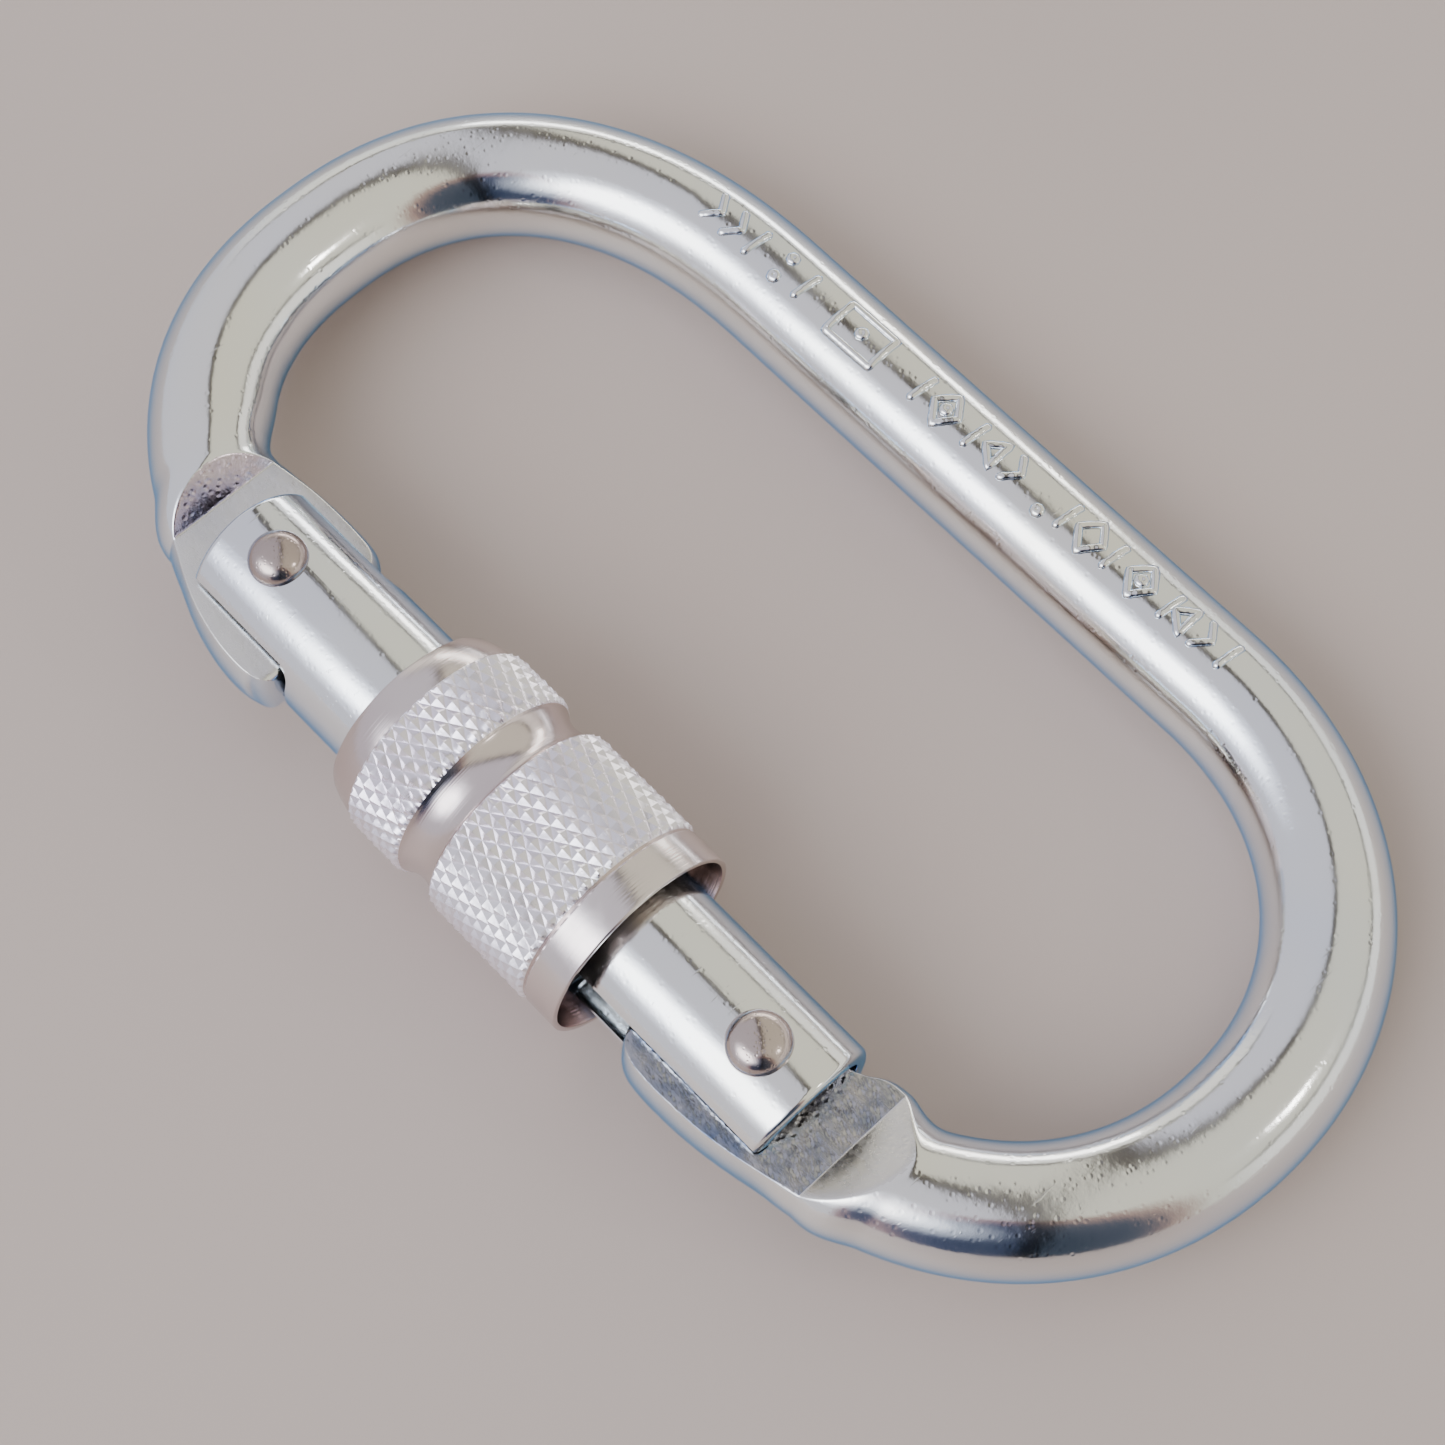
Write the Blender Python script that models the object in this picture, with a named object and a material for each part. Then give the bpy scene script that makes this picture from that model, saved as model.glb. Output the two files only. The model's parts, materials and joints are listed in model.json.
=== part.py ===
"""Locking carabiner: an oval steel snap link with a screw sleeve on its gate.

Metres, +Z up.  The oval lies flat in the XY plane: X runs along the long axis from
the hinge end (-X) to the latch end (+X), Y runs from the gate (-Y) to the spine (+Y).
"""
import math

import bmesh
import bpy
from mathutils import Matrix, Vector

MM = 0.001

# frame: one bent rod
LENGTH = 111.0 * MM
ROD_RADIUS = 5.0 * MM
HALF_WIDTH_CENTRE = 23.85 * MM          # spine centre line to the long axis
# side: (how far the bend reaches along X, its squareness; 2 is an ellipse)
BENDS = {-1: (28.6 * MM, 2.28), 1: (25.0 * MM, 2.1)}
ROD_STEP = 2.7 * MM
FLAT_STEPS = 3
SIDE_STEPS = 14

# tangs: the two pressed ends of the rod
TANG_HALF = 2.5 * MM
TANG_BULGE = 6.4 * MM                   # height of the oval whose sides the tang keeps
TANG_EDGE = 0.7 * MM
TANG_STEPS = 22
HINGE_SHOULDER_X = -36.3 * MM
HINGE_SHOULDER_RUN = 2.2 * MM
HINGE_TIP_X = -22.1 * MM
LATCH_SHOULDER_X = 33.2 * MM
LATCH_SHOULDER_RUN = 4.2 * MM
LATCH_TIP_X = 15.8 * MM
SWING = 12.0 * MM                       # run of rod over which the rings turn square to it
SHOULDER_RISE = 2.5 * MM
PLAIN_ROD = 6.0 * MM                    # past the shoulder line the rod is round again
# edges of the pressed faces in millimetres, from the tip to the shoulder
HINGE_OUTER = [
    (-22.1, -27.8), (-22.2, -28.8), (-23.2, -29.5), (-25.0, -29.7), (-28.0, -29.5),
    (-32.0, -28.5), (-36.3, -26.4),
]
HINGE_INNER = [
    (-22.1, -27.0), (-22.4, -26.3), (-23.5, -25.8), (-23.7, -25.4), (-23.75, -20.0),
    (-24.0, -17.5), (-24.9, -16.1), (-27.0, -15.8), (-32.0, -15.8), (-36.3, -16.5),
]
LATCH_OUTER = [
    (15.8, -25.6), (15.9, -27.8), (17.4, -29.3), (20.5, -29.5), (24.5, -29.3),
    (28.7, -28.6), (33.2, -27.4),
]
LATCH_INNER = [
    (15.8, -23.4), (16.0, -20.6), (17.6, -18.9), (20.5, -18.5), (28.7, -18.5),
    (30.2, -17.9), (31.4, -16.9), (33.2, -16.8),
]

# gate: a tube slotted at both ends
GATE_Y = -22.2 * MM
GATE_RADIUS = 6.15 * MM
GATE_BORE = 4.9 * MM
GATE_HINGE_X = -32.9 * MM
GATE_LATCH_X = 29.4 * MM
GATE_CHAMFER = 0.3 * MM
GATE_CROWN = 0.5 * MM
HINGE_SLOT_HALF = 3.0 * MM
LATCH_SLOT_HALF = 2.75 * MM
HINGE_SLOT_X = -21.3 * MM
LATCH_SLOT_X = 9.0 * MM

# rivets
RIVET_Y = -22.5 * MM
HINGE_X = -28.0 * MM
LATCH_X = 24.0 * MM
RIVET_SHANK = 1.6 * MM
RIVET_HOLE = 1.66 * MM
HINGE_HOLE = 1.9 * MM
HINGE_HEAD = 2.35 * MM
LATCH_HEAD = 2.5 * MM
DOME_STEPS = 4
HEAD_SKIRT_Z = 5.2 * MM
HEAD_SHOULDER_Z = 6.3 * MM
HEAD_TOP_Z = 7.45 * MM
NOTCH_RADIUS = 2.0 * MM
GATE_PIVOT = (HINGE_X, RIVET_Y, 0.0)

# locking sleeve, positions along X with the sleeve unscrewed
SLEEVE_HINGE_X = -14.0 * MM
SLEEVE_LATCH_X = 11.5 * MM
SLEEVE_RADIUS = 8.9 * MM
SLEEVE_COLLAR = 7.5 * MM
SLEEVE_GROOVE = 7.9 * MM
SLEEVE_RIM = 8.65 * MM
BAND_ONE_END = -5.6 * MM
GROOVE_MIDDLE = -3.85 * MM
BAND_TWO_START = -2.1 * MM
RIM_START = 8.1 * MM
SLEEVE_BORE = 6.45 * MM
COUNTERBORE = 8.2 * MM
COUNTERBORE_DEPTH = 5.0 * MM
RING_SEAT_X = -9.4 * MM
RING_SEAT_HALF = 1.0 * MM
RING_SEAT_RADIUS = 7.3 * MM
RING_HALF = 0.7 * MM
RING_OUTER = 7.0 * MM
RING_INNER = 6.3 * MM

# closing spring train inside the gate
PIN_FACE_X = -23.05 * MM
PIN_HEAD_LENGTH = 1.5 * MM
PIN_HEAD = 3.3 * MM
PIN_SHANK = 1.6 * MM
PIN_LENGTH = 8.0 * MM
SEAT_FACE_X = -3.0 * MM
SEAT_LENGTH = 2.2 * MM
SEAT_RADIUS = 4.7 * MM
SPIGOT_LENGTH = 4.0 * MM
SPRING_RADIUS = 2.5 * MM
SPRING_WIRE = 0.4 * MM
SPRING_TURNS = 9
SPRING_GAP = 0.15 * MM
SPRING_STEPS = 16                       # points in one turn
CLOSED_TURNS = 0.9                      # at each end, so that the coil stands square

# the drawing's long axis sits this far above the middle of the overall size
MIDDLE_SHIFT = 1.125 * MM


def clear_scene():
    for item in list(bpy.data.objects):
        bpy.data.objects.remove(item, do_unlink=True)


def new_collection(name):
    collection = bpy.data.collections.new(name)
    bpy.context.scene.collection.children.link(collection)
    return collection


clear_scene()
PARTS = new_collection("locking_carabiner")
CUTTERS = new_collection("cutters")


def material(name, colour, roughness, metallic):
    made = bpy.data.materials.new(name)
    made.use_nodes = True
    shader = made.node_tree.nodes["Principled BSDF"]
    shader.inputs["Base Color"].default_value = (*colour, 1.0)
    shader.inputs["Roughness"].default_value = roughness
    shader.inputs["Metallic"].default_value = metallic
    return made


def add_object(name, mesh, collection):
    item = bpy.data.objects.new(name, mesh)
    collection.objects.link(item)
    return item


def mesh_from_bmesh(name, bm):
    bmesh.ops.recalc_face_normals(bm, faces=bm.faces)
    mesh = bpy.data.meshes.new(name)
    bm.to_mesh(mesh)
    bm.free()
    return mesh


def as_cutter(item):
    item.hide_render = True
    item.display_type = "WIRE"
    return item


def cylinder(name, radius, start, end, sides, collection):
    """A cylinder between two points."""
    start = Vector(start)
    end = Vector(end)
    bm = bmesh.new()
    bmesh.ops.create_cone(
        bm, cap_ends=True, segments=sides, radius1=radius, radius2=radius,
        depth=(end - start).length,
    )
    turn = (end - start).to_track_quat("Z", "Y").to_matrix().to_4x4()
    bmesh.ops.transform(bm, matrix=Matrix.Translation((start + end) / 2) @ turn, verts=bm.verts)
    return add_object(name, mesh_from_bmesh(name, bm), collection)


def box(name, low, high, collection):
    bm = bmesh.new()
    bmesh.ops.create_cube(bm, size=1.0)
    size = Vector(high) - Vector(low)
    centre = (Vector(high) + Vector(low)) / 2
    bmesh.ops.transform(
        bm, matrix=Matrix.Translation(centre) @ Matrix.Diagonal((*size, 1.0)), verts=bm.verts,
    )
    return add_object(name, mesh_from_bmesh(name, bm), collection)


def turned(name, profile, axis_point, axis, sides, collection):
    """A closed (along, radius) profile turned about an axis through axis_point."""
    axis = Vector(axis)
    across = axis.orthogonal().normalized()
    bm = bmesh.new()
    ring = [bm.verts.new(Vector(axis_point) + axis * a + across * r) for a, r in profile]
    edges = [bm.edges.new((ring[i], ring[(i + 1) % len(ring)])) for i in range(len(ring))]
    bmesh.ops.spin(
        bm, geom=ring + edges, cent=axis_point, axis=axis, angle=2 * math.pi,
        steps=sides, use_merge=True,
    )
    bmesh.ops.remove_doubles(bm, verts=bm.verts, dist=1e-6)
    return add_object(name, mesh_from_bmesh(name, bm), collection)


def boolean(target, cutter, operation):
    step = target.modifiers.new(operation.lower(), "BOOLEAN")
    step.operation = operation
    step.solver = "EXACT"
    step.object = cutter
    bpy.context.view_layer.update()
    graph = bpy.context.evaluated_depsgraph_get()
    result = bpy.data.meshes.new_from_object(target.evaluated_get(graph))
    target.modifiers.clear()
    target.data = result
    as_cutter(cutter)


def curve_to_mesh(item, name, collection):
    """Turn a bevelled or filled curve into a closed mesh in world space."""
    bpy.context.view_layer.update()
    graph = bpy.context.evaluated_depsgraph_get()
    mesh = bpy.data.meshes.new_from_object(item.evaluated_get(graph))
    mesh.transform(item.matrix_world)
    bpy.data.objects.remove(item, do_unlink=True)
    bm = bmesh.new()
    bm.from_mesh(mesh)
    bmesh.ops.remove_doubles(bm, verts=bm.verts, dist=2e-6)
    return add_object(name, mesh_from_bmesh(name, bm), collection)


def swept_wire(name, points, radius, resolution, collection):
    """A round wire through a run of points, with filled ends."""
    curve = bpy.data.curves.new(name, "CURVE")
    curve.dimensions = "3D"
    curve.bevel_depth = radius
    curve.bevel_resolution = resolution
    curve.use_fill_caps = True
    spline = curve.splines.new("POLY")
    spline.points.add(len(points) - 1)
    for knot, place in zip(spline.points, points):
        knot.co = (*place, 1.0)
    return curve_to_mesh(add_object(name, curve, collection), name, collection)


def finish(item, look, pivot=(0.0, 0.0, 0.0), angle=26.0):
    """Clean the mesh, give it its material and put its origin on its pivot."""
    item.data.materials.clear()
    item.data.materials.append(look)
    bm = bmesh.new()
    bm.from_mesh(item.data)
    bmesh.ops.remove_doubles(bm, verts=bm.verts, dist=1e-6)
    bmesh.ops.dissolve_degenerate(bm, edges=bm.edges, dist=1e-6)
    bmesh.ops.triangulate(bm, faces=bm.faces)
    bmesh.ops.recalc_face_normals(bm, faces=bm.faces)
    bmesh.ops.translate(bm, vec=-Vector(pivot), verts=bm.verts)
    bm.to_mesh(item.data)
    bm.free()
    item.location = Vector(pivot) + Vector((0.0, MIDDLE_SHIFT, 0.0))
    item.data.shade_smooth()
    item.data.set_sharp_from_angle(angle=math.radians(angle))


# ---------------------------------------------------------------- frame

def smoothstep(value):
    value = min(max(value, 0.0), 1.0)
    return value * value * (3.0 - 2.0 * value)


def bend_centre(x, side):
    """Y of the rod's centre line on the gate side of a bend (side -1 hinge, +1 latch)."""
    reach, power = BENDS[side]
    middle = side * (LENGTH / 2 - ROD_RADIUS - reach)
    share = min(abs(x - middle) / reach, 1.0)
    return -HALF_WIDTH_CENTRE * (1 - share ** power) ** (1 / power)


def bend_path(side, start_x):
    """Centre line from the gate side, round one bend, to the start of the spine."""
    reach, power = BENDS[side]
    middle = side * (LENGTH / 2 - ROD_RADIUS - reach)
    places = []
    for i in range(401):
        angle = math.pi * i / 400
        along = abs(math.sin(angle)) ** (2 / power)
        across = -math.copysign(abs(math.cos(angle)) ** (2 / power), math.cos(angle))
        place = Vector((middle + side * reach * along, HALF_WIDTH_CENTRE * across, 0.0))
        if place.y > 0 or side * place.x > side * start_x:
            places.append(place)
    places.insert(0, Vector((start_x, bend_centre(start_x, side), 0.0)))
    return places


def even_steps(places, step):
    """The same path walked in equal steps, both ends kept."""
    total = sum((b - a).length for a, b in zip(places, places[1:]))
    step = total / max(round(total / step), 1)
    walked = [places[0]]
    left = step
    for a, b in zip(places, places[1:]):
        span = (b - a).length
        while span > left:
            a = a + (b - a) * (left / span)
            walked.append(a)
            span = (b - a).length
            left = step
        left -= span
    if (walked[-1] - places[-1]).length > step / 2:
        walked.append(places[-1])
    return walked


def rounded_line(points, passes=3):
    """Corner-cut line through a few points given in millimetres."""
    line = [Vector((x, y)) for x, y in points]
    for _ in range(passes):
        cut = [line[0]]
        for a, b in zip(line, line[1:]):
            cut.append(a.lerp(b, 0.25))
            cut.append(a.lerp(b, 0.75))
        cut.append(line[-1])
        line = cut
    return sorted(((p.x * MM, p.y * MM) for p in line))


def read_line(line, x):
    for (x0, y0), (x1, y1) in zip(line, line[1:]):
        if x <= x1:
            share = (x - x0) / (x1 - x0) if x1 > x0 else 1.0
            return y0 + (y1 - y0) * min(max(share, 0.0), 1.0)
    return line[-1][1]


def rod_bend(x, side):
    """Slope of the bend's centre line at x on the gate side, and its radius there."""
    step = 0.05 * MM
    before, here, after = (bend_centre(x + k * step, side) for k in (-1, 0, 1))
    slope = (after - before) / (2 * step)
    curl = (after - 2 * here + before) / step ** 2
    return slope, (1 + slope ** 2) ** 1.5 / max(abs(curl), 0.1)


def leaning_offset(radius, square, distance):
    """How far out a line crosses a bend's offset curve; square is 1 for a line square to it."""
    reach = radius * square
    return math.sqrt(reach ** 2 + 2 * radius * distance + distance ** 2) - reach


def section(centre, across, spread, half_height, clip):
    """One ring of the frame: an oval of rod pressed flat at +-clip.

    spread turns a share of the half width, from -1 to 1, into a distance along across.
    """
    edge = math.asin(min(clip / half_height, math.sin(math.radians(80))))
    reach = math.cos(edge)
    ring = []

    def add(share, z):
        ring.append(centre + across * spread(share) + Vector((0, 0, z)))

    def crown(share):
        return min(half_height * math.sqrt(1 - share ** 2), clip)

    for i in range(FLAT_STEPS):
        share = reach - 2 * reach * i / FLAT_STEPS
        add(share, crown(share))
    for i in range(SIDE_STEPS):
        angle = edge - 2 * edge * i / SIDE_STEPS
        add(-math.cos(angle), half_height * math.sin(angle))
    for i in range(FLAT_STEPS):
        share = -reach + 2 * reach * i / FLAT_STEPS
        add(share, -crown(share))
    for i in range(SIDE_STEPS):
        angle = -edge + 2 * edge * i / SIDE_STEPS
        add(math.cos(angle), half_height * math.sin(angle))
    return ring


def tang_rings(side, outer, inner, shoulder_x, run, tip_x):
    """Rings from the tip of a tang, over its shoulder, to where the plain rod starts."""
    outer = rounded_line(outer)
    inner = rounded_line(inner)
    outward = Vector((0.0, -1.0, 0.0))
    length = abs(shoulder_x - tip_x)
    stations = [length * (1 - math.cos(math.pi / 2 * i / TANG_STEPS)) for i in range(TANG_STEPS)]
    stations += [length + run * i / 4 for i in range(5)]
    stations += [length + run + (PLAIN_ROD - run) * i / 3 for i in range(1, 3)]
    rings = []
    for station in stations:
        x = tip_x + side * station
        past = station - length
        blend = smoothstep(past / (PLAIN_ROD - 1 * MM))
        y_out = read_line(outer, x)
        y_in = read_line(inner, x)
        height = ROD_RADIUS + (TANG_BULGE - ROD_RADIUS) * smoothstep(-past / (4 * MM))
        width = (y_in - y_out) / 2 / math.sqrt(1 - (TANG_HALF / height) ** 2)
        middle = (y_out + y_in) / 2
        slope, radius = rod_bend(x, side)
        square = 1 / math.hypot(1, slope)

        def spread(share):
            tang = width * share - middle
            if not blend:
                return tang
            rod = leaning_offset(radius, square, ROD_RADIUS * share) - bend_centre(x, side)
            return tang + (rod - tang) * blend

        clip = TANG_HALF + SHOULDER_RISE * max(past, 0.0) / run
        if station < TANG_EDGE:
            lost = (TANG_EDGE - station) / TANG_EDGE
            clip -= TANG_EDGE * (1 - math.sqrt(1 - lost ** 2))
        rings.append(section(Vector((x, 0.0, 0.0)), outward, spread, height, clip))
    return rings


def rod_rings(places, side):
    """Rings of plain rod, swung from square to X round to square to the rod."""
    rings = []
    walked = 0.0
    for i, place in enumerate(places):
        if i:
            walked += (place - places[i - 1]).length
        if walked < SWING:
            slope, radius = rod_bend(place.x, side)
            along = Vector((1.0, slope, 0.0)).normalized()
        else:
            radius = LENGTH
            along = (places[min(i + 1, len(places) - 1)] - places[i - 1]).normalized() * side
        normal = Vector((along.y, -along.x, 0.0))
        turned = smoothstep(walked / SWING)
        across = (Vector((0.0, -1.0, 0.0)) * (1 - turned) + normal * turned).normalized()
        square = across.dot(normal)

        def spread(share):
            return leaning_offset(radius, square, ROD_RADIUS * share)

        rings.append(section(place, across, spread, ROD_RADIUS, 2 * ROD_RADIUS))
    return rings


def skin(name, rings, collection):
    """Closed skin over a run of rings with the same number of points."""
    bm = bmesh.new()
    loops = [[bm.verts.new(p) for p in ring] for ring in rings]
    count = len(loops[0])
    for a, b in zip(loops, loops[1:]):
        for i in range(count):
            j = (i + 1) % count
            bm.faces.new((a[i], a[j], b[j], b[i]))
    bm.faces.new(loops[0])
    bm.faces.new(loops[-1])
    return add_object(name, mesh_from_bmesh(name, bm), collection)


def build_frame():
    hinge_start = HINGE_SHOULDER_X - PLAIN_ROD
    latch_start = LATCH_SHOULDER_X + PLAIN_ROD
    hinge = tang_rings(-1, HINGE_OUTER, HINGE_INNER, HINGE_SHOULDER_X, HINGE_SHOULDER_RUN, HINGE_TIP_X)
    latch = tang_rings(1, LATCH_OUTER, LATCH_INNER, LATCH_SHOULDER_X, LATCH_SHOULDER_RUN, LATCH_TIP_X)
    hinge += rod_rings(even_steps(bend_path(-1, hinge_start), ROD_STEP), -1)
    latch += rod_rings(even_steps(bend_path(1, latch_start), ROD_STEP), 1)
    frame = skin("frame", hinge + latch[::-1], PARTS)
    hole = cylinder(
        "hinge_hole", HINGE_HOLE, (HINGE_X, RIVET_Y, -6 * MM), (HINGE_X, RIVET_Y, 6 * MM), 32, CUTTERS,
    )
    boolean(frame, hole, "DIFFERENCE")
    notch = cylinder(
        "latch_notch", NOTCH_RADIUS, (LATCH_X, RIVET_Y, -6 * MM), (LATCH_X, RIVET_Y, 6 * MM), 32, CUTTERS,
    )
    throat = box(
        "notch_throat", (LATCH_X - NOTCH_RADIUS, RIVET_Y, -5 * MM),
        (LATCH_X + NOTCH_RADIUS, RIVET_Y + 8 * MM, 5 * MM), CUTTERS,
    )
    boolean(frame, notch, "DIFFERENCE")
    boolean(frame, throat, "DIFFERENCE")
    finish(frame, material("zinc_plated_rod", (0.72, 0.73, 0.72), 0.22, 1.0))
    return frame


# ---------------------------------------------------------------- gate

def build_gate():
    low, high, cut = GATE_HINGE_X, GATE_LATCH_X, GATE_CHAMFER
    profile = [
        (low + cut, GATE_RADIUS), (high - cut, GATE_RADIUS), (high, GATE_RADIUS - cut),
        (high, GATE_BORE + cut), (high - cut, GATE_BORE), (low + cut, GATE_BORE),
        (low, GATE_BORE + cut), (low, GATE_RADIUS - cut),
    ]
    gate = turned("gate", profile, (0, GATE_Y, 0), (1, 0, 0), 64, PARTS)
    for vertex in gate.data.vertices:
        bulge = GATE_CROWN * ((vertex.co.y - GATE_Y) / GATE_RADIUS) ** 2
        vertex.co.x -= math.copysign(bulge, vertex.co.x)
    hinge_slot = box(
        "hinge_slot", (GATE_HINGE_X - 5 * MM, GATE_Y - 9 * MM, -HINGE_SLOT_HALF),
        (HINGE_SLOT_X, GATE_Y + 9 * MM, HINGE_SLOT_HALF), CUTTERS,
    )
    latch_slot = box(
        "latch_slot", (LATCH_SLOT_X, GATE_Y - 9 * MM, -LATCH_SLOT_HALF),
        (GATE_LATCH_X + 5 * MM, GATE_Y, LATCH_SLOT_HALF), CUTTERS,
    )
    boolean(gate, hinge_slot, "DIFFERENCE")
    boolean(gate, latch_slot, "DIFFERENCE")
    for name, x in (("hinge_rivet_hole", HINGE_X), ("latch_rivet_hole", LATCH_X)):
        hole = cylinder(
            name, RIVET_HOLE, (x, RIVET_Y, -9 * MM), (x, RIVET_Y, 9 * MM), 32, CUTTERS,
        )
        boolean(gate, hole, "DIFFERENCE")
    finish(gate, material("zinc_plated_sheet", (0.76, 0.76, 0.74), 0.18, 1.0), GATE_PIVOT)
    return gate


def build_rivet(name, x, head):
    """A rivet whose domed heads sit down on the round of the gate."""
    upper = [(HEAD_SKIRT_Z, RIVET_SHANK), (HEAD_SKIRT_Z, head), (HEAD_SHOULDER_Z, head)]
    for i in range(1, DOME_STEPS):
        angle = math.pi / 2 * i / DOME_STEPS
        rise = (HEAD_TOP_Z - HEAD_SHOULDER_Z) * math.sin(angle)
        upper.append((HEAD_SHOULDER_Z + rise, head * math.cos(angle)))
    upper.append((HEAD_TOP_Z, 0.0))
    profile = upper[::-1] + [(-z, r) for z, r in upper]
    bm = bmesh.new()
    line = [bm.verts.new((x + r, RIVET_Y, z)) for z, r in profile]
    edges = [bm.edges.new(pair) for pair in zip(line, line[1:])]
    bmesh.ops.spin(
        bm, geom=line + edges, cent=(x, RIVET_Y, 0), axis=(0, 0, 1), angle=2 * math.pi,
        steps=24, use_merge=True,
    )
    bmesh.ops.remove_doubles(bm, verts=bm.verts, dist=1e-6)
    rivet = add_object(name, mesh_from_bmesh(name, bm), PARTS)
    seat = turned(
        name + "_seat",
        [(x - 5 * MM, RIVET_SHANK), (x + 5 * MM, RIVET_SHANK), (x + 5 * MM, GATE_RADIUS + 0.04 * MM),
         (x - 5 * MM, GATE_RADIUS + 0.04 * MM)],
        (0, GATE_Y, 0), (1, 0, 0), 64, CUTTERS,
    )
    shank = cylinder(
        name + "_shank", RIVET_SHANK, (x, RIVET_Y, -6.5 * MM), (x, RIVET_Y, 6.5 * MM), 32, CUTTERS,
    )
    boolean(seat, shank, "DIFFERENCE")
    boolean(rivet, seat, "DIFFERENCE")
    finish(rivet, material(name + "_nickel", (0.62, 0.55, 0.50), 0.2, 1.0), (x, RIVET_Y, 0.0))
    return rivet


# ---------------------------------------------------------------- sleeve

def build_sleeve():
    low, high = SLEEVE_HINGE_X, SLEEVE_LATCH_X
    outside = [
        (low, SLEEVE_COLLAR), (low + 0.5 * MM, SLEEVE_COLLAR + 0.5 * MM),
        (low + 3.0 * MM, SLEEVE_RADIUS), (BAND_ONE_END, SLEEVE_RADIUS),
        (BAND_ONE_END + 0.4 * MM, SLEEVE_RADIUS - 0.6 * MM), (GROOVE_MIDDLE, SLEEVE_GROOVE),
        (BAND_TWO_START - 0.4 * MM, SLEEVE_RADIUS - 0.6 * MM), (BAND_TWO_START, SLEEVE_RADIUS),
        (RIM_START, SLEEVE_RADIUS), (RIM_START + 0.3 * MM, SLEEVE_RIM),
        (high - 0.15 * MM, SLEEVE_RIM), (high, SLEEVE_RIM - 0.1 * MM),
    ]
    shelf = high - COUNTERBORE_DEPTH
    ring_low, ring_high = RING_SEAT_X - RING_SEAT_HALF, RING_SEAT_X + RING_SEAT_HALF
    inside = [
        (high, COUNTERBORE), (shelf, COUNTERBORE), (shelf, SLEEVE_BORE + 0.4 * MM),
        (shelf - 0.4 * MM, SLEEVE_BORE), (ring_high, SLEEVE_BORE), (ring_high, RING_SEAT_RADIUS),
        (ring_low, RING_SEAT_RADIUS), (ring_low, SLEEVE_BORE), (low + 0.3 * MM, SLEEVE_BORE),
        (low, SLEEVE_BORE + 0.3 * MM),
    ]
    sleeve = turned("locking_sleeve", outside + inside, (0, GATE_Y, 0), (1, 0, 0), 60, PARTS)
    finish(sleeve, material("nickel_sleeve", (0.80, 0.76, 0.76), 0.25, 1.0), (0.0, GATE_Y, 0.0))
    ring = turned(
        "friction_ring",
        [(RING_SEAT_X - RING_HALF, RING_INNER), (RING_SEAT_X + RING_HALF, RING_INNER),
         (RING_SEAT_X + RING_HALF, RING_OUTER), (RING_SEAT_X - RING_HALF, RING_OUTER)],
        (0, GATE_Y, 0), (1, 0, 0), 48, PARTS,
    )
    finish(ring, material("black_rubber", (0.02, 0.02, 0.02), 0.7, 0.0), (RING_SEAT_X, GATE_Y, 0.0))
    return sleeve


# ---------------------------------------------------------------- closing spring

def build_spring_train():
    neck = PIN_FACE_X + PIN_HEAD_LENGTH
    pin_profile = [
        (PIN_FACE_X, 0.0), (PIN_FACE_X, PIN_HEAD - 0.4 * MM), (PIN_FACE_X + 0.4 * MM, PIN_HEAD),
        (neck, PIN_HEAD), (neck, PIN_SHANK), (PIN_FACE_X + PIN_LENGTH - 0.5 * MM, PIN_SHANK),
        (PIN_FACE_X + PIN_LENGTH, PIN_SHANK - 0.5 * MM), (PIN_FACE_X + PIN_LENGTH, 0.0),
    ]
    pin = turned("push_pin", pin_profile, (0, GATE_Y, 0), (1, 0, 0), 32, PARTS)
    finish(pin, material("hardened_steel", (0.45, 0.45, 0.46), 0.35, 1.0), (PIN_FACE_X, GATE_Y, 0.0))
    tip = SEAT_FACE_X - SPIGOT_LENGTH
    seat_profile = [
        (tip, 0.0), (tip, PIN_SHANK - 0.4 * MM), (tip + 0.4 * MM, PIN_SHANK),
        (SEAT_FACE_X, PIN_SHANK), (SEAT_FACE_X, SEAT_RADIUS), (SEAT_FACE_X + SEAT_LENGTH, SEAT_RADIUS),
        (SEAT_FACE_X + SEAT_LENGTH, 0.0),
    ]
    seat = turned("spring_seat", seat_profile, (0, GATE_Y, 0), (1, 0, 0), 32, PARTS)
    finish(seat, material("turned_steel", (0.50, 0.50, 0.50), 0.4, 1.0), GATE_PIVOT)
    start = neck + SPRING_WIRE + SPRING_GAP
    end = SEAT_FACE_X - SPRING_WIRE - SPRING_GAP
    closed = 2.2 * SPRING_WIRE
    open_turns = SPRING_TURNS - 2 * CLOSED_TURNS
    places = []
    for i in range(SPRING_STEPS * SPRING_TURNS + 1):
        turn = i / SPRING_STEPS
        inner = min(max((turn - CLOSED_TURNS) / open_turns, 0.0), 1.0)
        lead = closed * (min(turn, CLOSED_TURNS) + max(turn - SPRING_TURNS + CLOSED_TURNS, 0.0))
        x = start + lead + (end - start - 2 * CLOSED_TURNS * closed) * inner
        angle = 2 * math.pi * turn
        places.append(Vector((
            x, GATE_Y + SPRING_RADIUS * math.cos(angle), SPRING_RADIUS * math.sin(angle),
        )))
    spring = swept_wire("return_spring", places, SPRING_WIRE, 2, PARTS)
    finish(spring, material("spring_wire", (0.55, 0.55, 0.56), 0.3, 1.0), GATE_PIVOT, 60.0)


build_frame()
build_gate()
build_rivet("hinge_rivet", HINGE_X, HINGE_HEAD)
build_rivet("latch_rivet", LATCH_X, LATCH_HEAD)
build_sleeve()
build_spring_train()
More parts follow.
